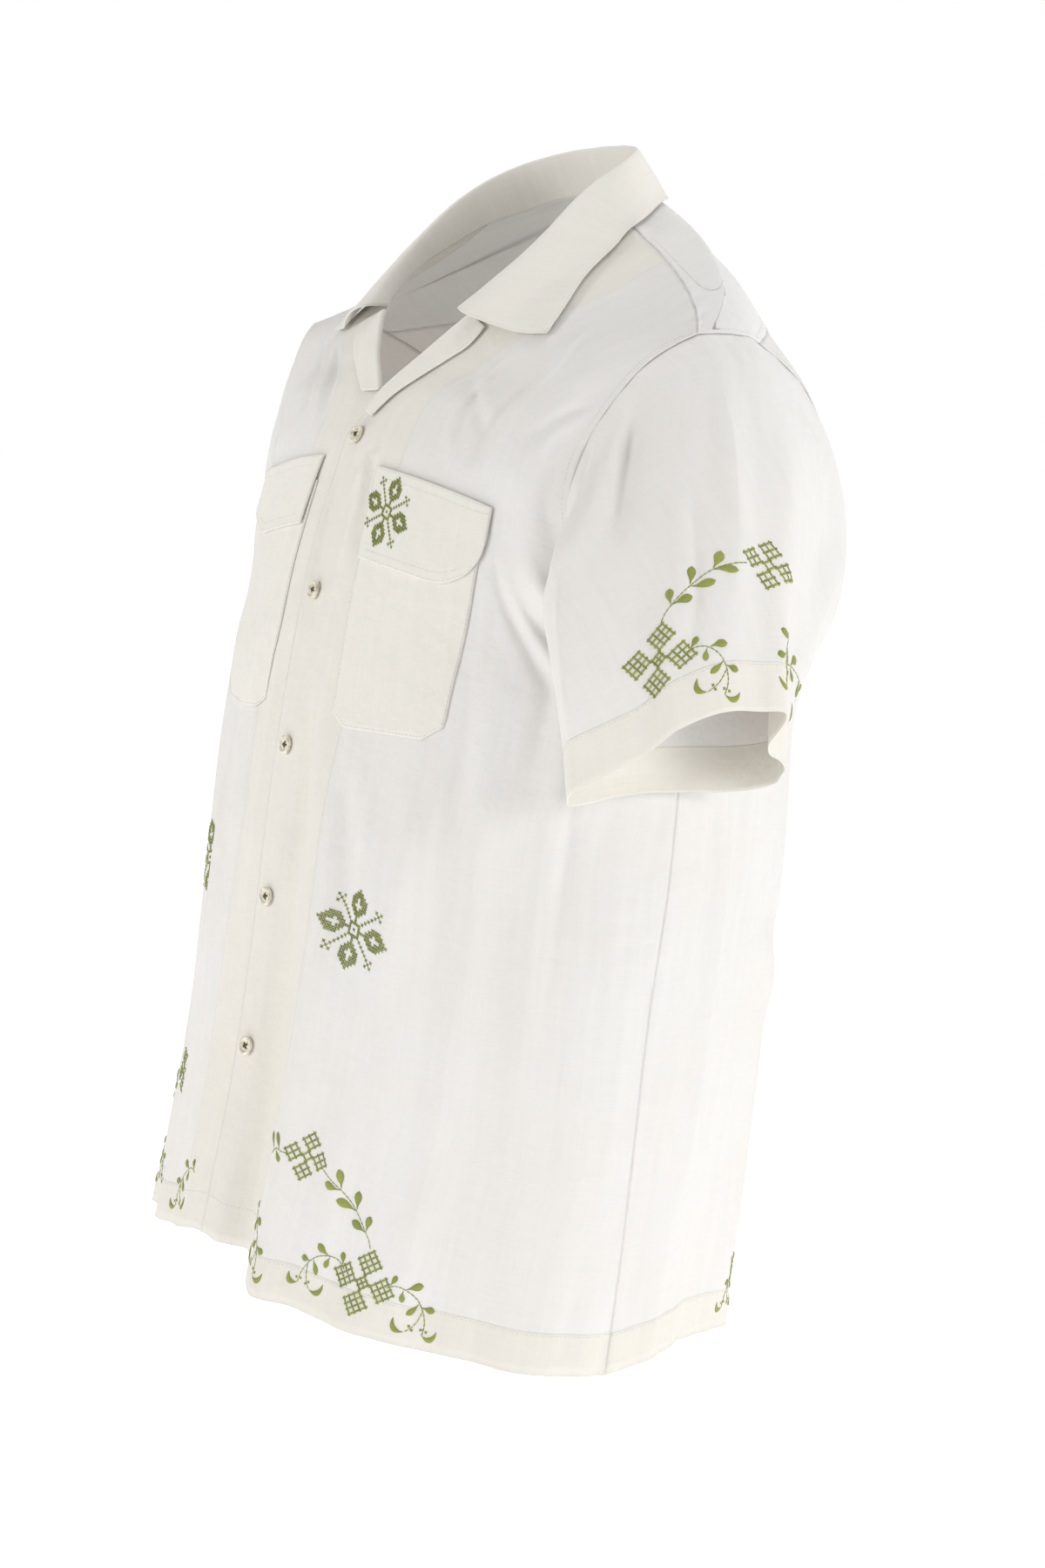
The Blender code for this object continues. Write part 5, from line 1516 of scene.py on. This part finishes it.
def sew_spray(threads, grid, centre, flip, turns, sizes, lift, parts="vine lattice left right top tip"):
    """One spray laid on the cloth round a centre in u and v, mirrored where flip is -1. The turns are those of the
    vine, the lattices and the scrolls, in degrees."""
    centre = np.asarray(centre, float)
    vine_turn, lattice_turn, scroll_turn = turns

    def placed(points, own=1.0, turn=vine_turn):
        points = np.atleast_2d(np.asarray(points, float)) * np.array([own * flip, 1.0])
        return turned_by(points, turn) * SPREAD + centre

    line = {"width": sizes.floss * 0.8, "height": 0.0003, "lift": lift, "arch": 0.0001}

    if "lattice" in parts:
        sew_lattice(threads, grid, placed((0, 0)), *FOOT_LATTICE, lattice_turn, sizes, lift)
    if "vine" in parts:
        threads.run(grid, placed(curve(VINE)), VINE_PITCH, STEM_SHARE, **line)
        sew_leaves(threads, grid, VINE_LEAVES, placed, lift)
    if "top" in parts:
        sew_lattice(threads, grid, placed(TOP_LATTICE_AT), *TOP_LATTICE, lattice_turn, sizes, lift)
    if "tip" in parts:
        threads.run(grid, placed(curve(TOP_VINE)), STEM_PITCH, STEM_SHARE, **line)
        sew_leaves(threads, grid, TOP_LEAVES, placed, lift)
    for word, own in (("right", 1.0), ("left", -1.0)):
        if word not in parts:
            continue

        def scrolled(points, own=own):
            return placed(np.atleast_2d(np.asarray(points, float)) - (0, SCROLL_DROP), own, scroll_turn)

        for stem in (SCROLL, SCROLL_BRANCH):
            threads.run(grid, scrolled(curve(stem)), STEM_PITCH, STEM_SHARE, **line)
        sew_leaves(threads, grid, SCROLL_LEAVES, scrolled, lift)
        hooks = np.array(CRESCENTS, float)
        threads.lay(grid, scrolled(hooks[:, :2]), scrolled(hooks[:, 2:4]), bows=hooks[:, 5] * own * flip * 0.01,
                    width=hooks[:, 4] * 0.01, height=0.0007, lift=lift, arch=0.0002,
                    profile=(0.25, 0.5, 0.78, 0.96, 1.0, 0.94, 0.8, 0.6, 0.35), sides=8, shades=(0.4, 0.65))
        dots = scrolled(DOTS)
        for x, y in ((1, 1), (1, -1)):
            arm = np.array([[x, y]]) * 0.0009
            threads.lay(grid, dots - arm, dots + arm, width=sizes.floss, height=0.0003, lift=lift, arch=0.0002)


class SHIRT_OT_embroidery(bpy.types.Operator):
    """Sews the counted flowers and the sprays of lattices, vines and leaves"""

    bl_idname = "shirt.sew_embroidery"
    bl_label = "Embroidery"

    def execute(self, context):
        grids, sizes, colours = shirt_grids(), context.scene.shirt_sizes, context.scene.shirt_colours
        lift, flap_lift = sizes.cloth / 2 - FLOSS_SINK, sizes.doubled_cloth / 2 - FLOSS_SINK
        # The deep floss is the darker tone, mixed in at random and as painted shade in the grooves between strands.
        light, deep = tuple(colours.floss), tuple(colours.deep_floss)
        material = twisted_thread("olive_floss", light, deep, 0.0007, 0.5, 0.22)
        for side in ("left", "right"):
            front, flap = grids["front_" + side], grids["flap_" + side]
            flowers = Threads()
            sew_flower(flowers, front, FRONT_FLOWERS[side], -8, sizes.cross, sizes.floss, lift, 1.3)
            if side == "left":
                sew_flower(flowers, flap, FLAP_FLOWER, -15, sizes.cross * 0.93, sizes.floss * 0.93, flap_lift, 1.1)
            flowers.joined("flowers_" + side, material, "front_" + side)
            sprays = Threads()
            sew_spray(sprays, front, FRONT_SPRAYS[side], 1, FRONT_TURNS, sizes, lift)
            sew_spray(sprays, front, EDGE_SCROLL, 1, FRONT_TURNS, sizes, lift, "right")
            sew_spray(sprays, grids["back_" + side], BACK_SPRAY, 1, BACK_TURNS, sizes, lift)
            sprays.joined("hem_sprays_" + side, material, "front_" + side)
            spray, sleeve = Threads(), grids["sleeve_" + side]
            sew_spray(spray, sleeve, SLEEVE_SPRAY, -1, SLEEVE_TURNS, sizes, lift, "vine lattice left top")
            sew_spray(spray, sleeve, SLEEVE_BACK_SPRAY, 1, SLEEVE_BACK_TURNS, sizes, lift, "lattice left right")
            spray.joined("sleeve_spray_" + side, material, "sleeve_" + side)
        return {"FINISHED"}


class SHIRT_OT_buttons(bpy.types.Operator):
    """Makes the five buttons with their holes and the thread that holds them"""

    bl_idname = "shirt.make_buttons"
    bl_label = "Buttons"

    def execute(self, context):
        grids, sizes = shirt_grids(), context.scene.shirt_sizes
        front, material = grids["front_left"], polished_button()
        # The second, darker colour of the button thread is also the painted shade in the grooves between its strands.
        thread = twisted_thread("button_thread", (0.10, 0.12, 0.04, 1), (0.04, 0.05, 0.02, 1), 0.0006, 0.6, 0.2)
        for i in range(BUTTONS):
            low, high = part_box(f"button_{i + 1}")
            centre = (np.array(low) + np.array(high)) / 2
            near = np.unravel_index(np.argmin(np.linalg.norm(front["points"] - centre, axis=-1)), front["u"].shape)
            out = unit(front["out"][near[0] - 2 : near[0] + 3, 6:12].mean((0, 1)))
            side = unit(np.cross(np.array([0, 0, 1.0]), out))
            up = np.cross(out, side)
            turn = i * 17 + 8
            made = button_mesh(f"sewn_button_{i + 1}", centre, side, up, out, sizes, turn)
            made.data.materials.append(material)
            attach(made, "root")
            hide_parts(f"button_{i + 1}")
            cross = button_thread(f"button_thread_{i + 1}", centre, side, up, out, sizes, turn)
            cross.data.materials.append(thread)
            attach(cross, "root")
        return {"FINISHED"}


# Holes of a button, as shares of its radius: how far they lie aside and up from the middle, and their width
HOLE_ASIDE, HOLE_WIDTH = 0.21, 0.105


def button_mesh(name, centre, side, up, out, sizes, degrees):
    """A turned button: its height over a disc of radius and angle is a raised rim round a dished middle, less four
    bell-shaped holes. The back is nearly flat. Each point carries, as its shade, how much painted shade of the holes
    the button's finish puts there."""
    radius, thick = sizes.button_radius, sizes.button_thickness
    r = np.concatenate([np.linspace(0.02, 0.62, 26), np.linspace(0.66, 0.97, 12), [1.0, 1.0, 0.96]])
    turn = np.linspace(0, 2 * np.pi, 72, endpoint=False) + np.radians(degrees)
    top = np.interp(r, [0, 0.58, 0.70, 0.80, 0.92, 0.97, 1.0], [0.62, 0.62, 0.86, 1.0, 0.97, 0.86, 0.7])
    top[-2], top[-1] = 0.35, 0.04
    x = r[:, None] * np.cos(turn - np.radians(degrees))
    y = r[:, None] * np.sin(turn - np.radians(degrees))
    at = (-HOLE_ASIDE, HOLE_ASIDE)
    hole = sum(np.exp(-(((x - a) ** 2 + (y - b) ** 2) / HOLE_WIDTH**2) ** 2) for a in at for b in at)
    hole = hole * (r[:, None] < 0.6)
    height = (top[:, None] - 0.42 * hole - 0.5) * thick
    way = np.cos(turn)[:, None] * side + np.sin(turn)[:, None] * up
    points = centre + radius * r[:, None, None] * way + out * height[..., None]
    count, around = len(r), len(turn)
    flat = points.reshape(-1, 3)
    middle = centre + out * (0.62 - 0.5) * thick
    back = centre - out * 0.5 * thick
    flat = np.concatenate([flat, [middle, back]])
    last, tip = (count - 1) * around, count * around
    faces = ring_quads(count, around, backwards=True)
    faces += fan(tip, 0, around) + fan(tip + 1, last, around, backwards=True)
    # Painted shade of the holes: 0 on the face, up to 1 deep in each hole's dip, where the finish paints the button
    # nearly black.
    shade = np.concatenate([np.clip(hole * 1.3 - 0.15, 0, 1).ravel(), [0, 0]])
    return new_object(name, flat, faces, shade=shade)


def button_thread(name, centre, side, up, out, sizes, degrees):
    """Two crossing bundles of thread between opposite holes, each a bowed tube that dips into them."""
    radius, thick = sizes.button_radius, sizes.button_thickness
    rings, sides = 12, 8
    t = np.linspace(0, 1, rings)
    points, faces, start = [], [], 0
    around = np.linspace(0, 2 * np.pi, sides, endpoint=False)
    for k, (x, y) in enumerate(((HOLE_ASIDE, HOLE_ASIDE), (-HOLE_ASIDE, HOLE_ASIDE))):
        turn = np.radians(degrees)
        way = side * (x * np.cos(turn) - y * np.sin(turn)) + up * (x * np.sin(turn) + y * np.cos(turn))
        line = centre + way * radius * (2 * t[:, None] - 1)
        rise = 0.12 + (0.30 + 0.1 * k) * (4 * t * (1 - t)) ** 0.5 - 0.22 * (np.abs(2 * t - 1) ** 6)
        line = line + out * thick * rise[:, None]
        across = unit(np.cross(out, way))
        width = 0.00055 * np.where((t == 0) | (t == 1), 0.4, 1.0)
        oval = np.cos(around)[:, None] * across + np.sin(around)[:, None] * out * 0.8
        tube = line[:, None] + width[:, None, None] * oval
        points += [tube.reshape(-1, 3), line[:1], line[-1:]]
        tip = start + rings * sides
        faces += ring_quads(rings, sides, start)
        faces += fan(tip, start, sides, backwards=True) + fan(tip + 1, tip - sides, sides)
        start = tip + 2
    points = np.concatenate(points)
    uv = np.zeros((sum(len(face) for face in faces), 2))
    return new_object(name, points, faces, uv, np.full(len(points), 0.5))


# The stage. A light is its name, place, side, power and tint. The camera was worked out from the photo, in its
# picture points: the focal length, and how far its middle lies below the horizon.
FLOOR_HEIGHT = -1.30
LIGHTS = (
    ("side_softbox", (3.0, 0.7, 0.3), 1.1, 33, (1.0, 1.0, 1.0)),
    ("front_softbox", (-0.9, -3.1, 0.5), 1.1, 36, (1.0, 0.99, 0.97)),
    ("back_softbox", (-0.6, 3.0, 0.6), 1.4, 15, (1.0, 1.0, 1.0)),
    ("top_softbox", (0.3, 0.6, 2.4), 1.6, 20, (1.0, 1.0, 1.0)),
)
SHIRT_MIDDLE = np.array([0, 0, -0.32])
CAMERA_TURN = 60.0
CAMERA_AWAY = 2.30
CAMERA_HEIGHT = -0.032
FOCAL_POINTS, HORIZON_POINTS = 4140, 580


class SHIRT_OT_stage(bpy.types.Operator):
    """Sets up the floor, the soft lights and the camera"""

    bl_idname = "shirt.set_stage"
    bl_label = "Stage"

    def execute(self, context):
        scene, sides = context.scene, 96
        turn = np.linspace(0, 2 * np.pi, sides, endpoint=False)
        rings = np.array([0.5, 3.0, 14.0])[:, None]
        level = np.full((len(rings), sides), FLOOR_HEIGHT)
        points = np.stack([rings * np.cos(turn), rings * np.sin(turn), level], -1).reshape(-1, 3)
        faces = [list(range(sides))] + ring_quads(len(rings), sides, backwards=True)
        floor = new_object("studio_floor", points, faces)
        recipe = Recipe("painted_floor")
        speckle = recipe.noise(recipe.place(), 3.0, 2.0)
        recipe.set(Base_Color=recipe.darkened(tuple(scene.shirt_colours.floor), speckle * 0.02 + 0.99))
        recipe.set(Roughness=0.9, Emission_Color=(1.0, 1.0, 1.0, 1), Emission_Strength=0.62)
        floor.data.materials.append(recipe.material)
        floor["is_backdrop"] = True
        world = bpy.data.worlds.new("studio_white")
        scene.world = world
        world.use_nodes = True
        tree = world.node_tree
        backdrop = tree.nodes["Background"]
        backdrop.inputs["Color"].default_value = (1.0, 1.0, 1.0, 1)
        rays = tree.nodes.new("ShaderNodeLightPath")
        strength = tree.nodes.new("ShaderNodeMapRange")
        strength.inputs["To Min"].default_value = 0.45
        strength.inputs["To Max"].default_value = 1.0
        tree.links.new(rays.outputs["Is Camera Ray"], strength.inputs["Value"])
        tree.links.new(strength.outputs["Result"], backdrop.inputs["Strength"])
        scene.view_settings.view_transform = "Standard"
        for light in LIGHTS:
            place_light(*light)
        place_camera(scene)
        return {"FINISHED"}


def place_light(name, at, size, power, tint):
    """A square softbox that faces the middle of the shirt."""
    data = bpy.data.lights.new(name, "AREA")
    data.shape, data.size, data.energy, data.color = "SQUARE", size, power, tint
    light = bpy.data.objects.new(name, data)
    bpy.context.scene.collection.objects.link(light)
    light.matrix_world = facing(np.array(at), SHIRT_MIDDLE - np.array(at))


def facing(at, ahead):
    """A matrix for something at a place that looks along its -Z, with its Y up."""
    ahead = unit(ahead.astype(float))
    right = unit(np.cross(ahead, np.array([0, 0, 1.0])))
    up = np.cross(right, ahead)
    rows = np.eye(4)
    rows[:3, 0], rows[:3, 1], rows[:3, 2], rows[:3, 3] = right, up, -ahead, at
    return Matrix(rows.tolist())


def place_camera(scene):
    """The camera stands level with the collar, to the wearer's left, and looks down a little."""
    data = bpy.data.cameras.new("camera")
    data.lens, data.sensor_width, data.sensor_fit = 82.8, 36, "AUTO"
    camera = bpy.data.objects.new("camera", data)
    scene.collection.objects.link(camera)
    turn, tilt = np.radians(CAMERA_TURN), np.arctan(HORIZON_POINTS / FOCAL_POINTS)
    level = np.array([-np.sin(turn), np.cos(turn), 0.0])
    ahead = level * np.cos(tilt) - np.array([0, 0, 1.0]) * np.sin(tilt)
    camera.matrix_world = facing(np.array([0, 0, CAMERA_HEIGHT]) - level * CAMERA_AWAY, ahead)
    scene.camera = camera


STEPS = (
    SHIRT_OT_fronts,
    SHIRT_OT_back,
    SHIRT_OT_sleeves,
    SHIRT_OT_collar,
    SHIRT_OT_pockets,
    SHIRT_OT_buttons,
    SHIRT_OT_topstitching,
    SHIRT_OT_embroidery,
    SHIRT_OT_stage,
)


class SHIRT_PT_panel(bpy.types.Panel):
    bl_idname = "SHIRT_PT_panel"
    bl_label = "Cotton Shirt"
    bl_space_type = "VIEW_3D"
    bl_region_type = "UI"
    bl_category = "Shirt"

    def draw(self, context):
        for group in (context.scene.shirt_sizes, context.scene.shirt_colours):
            box = self.layout.box()
            for name in group.bl_rna.properties.keys():
                if name not in ("rna_type", "name"):
                    box.prop(group, name)
        for step in STEPS:
            self.layout.operator(step.bl_idname)


CLASSES = (ShirtSizes, ShirtColours, *STEPS, SHIRT_PT_panel)


def register():
    """Adds the classes, and the two groups of properties to the scene."""
    for made in CLASSES:
        bpy.utils.register_class(made)
    bpy.types.Scene.shirt_sizes = bpy.props.PointerProperty(type=ShirtSizes)
    bpy.types.Scene.shirt_colours = bpy.props.PointerProperty(type=ShirtColours)


def unregister():
    """Takes away what register adds."""
    del bpy.types.Scene.shirt_colours
    del bpy.types.Scene.shirt_sizes
    for made in reversed(CLASSES):
        bpy.utils.unregister_class(made)


def corners(bounds):
    """The two corners of a box as plain numbers."""
    return [[float(x) for x in corner] for corner in bounds]


def main():
    """Runs every step in order."""
    register()
    packed = corners(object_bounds())
    for step in STEPS:
        group, name = step.bl_idname.split(".")
        getattr(getattr(bpy.ops, group), name)()
    {"packed": packed, "dressed": corners(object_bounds())}


if __name__ == "__main__":
    main()
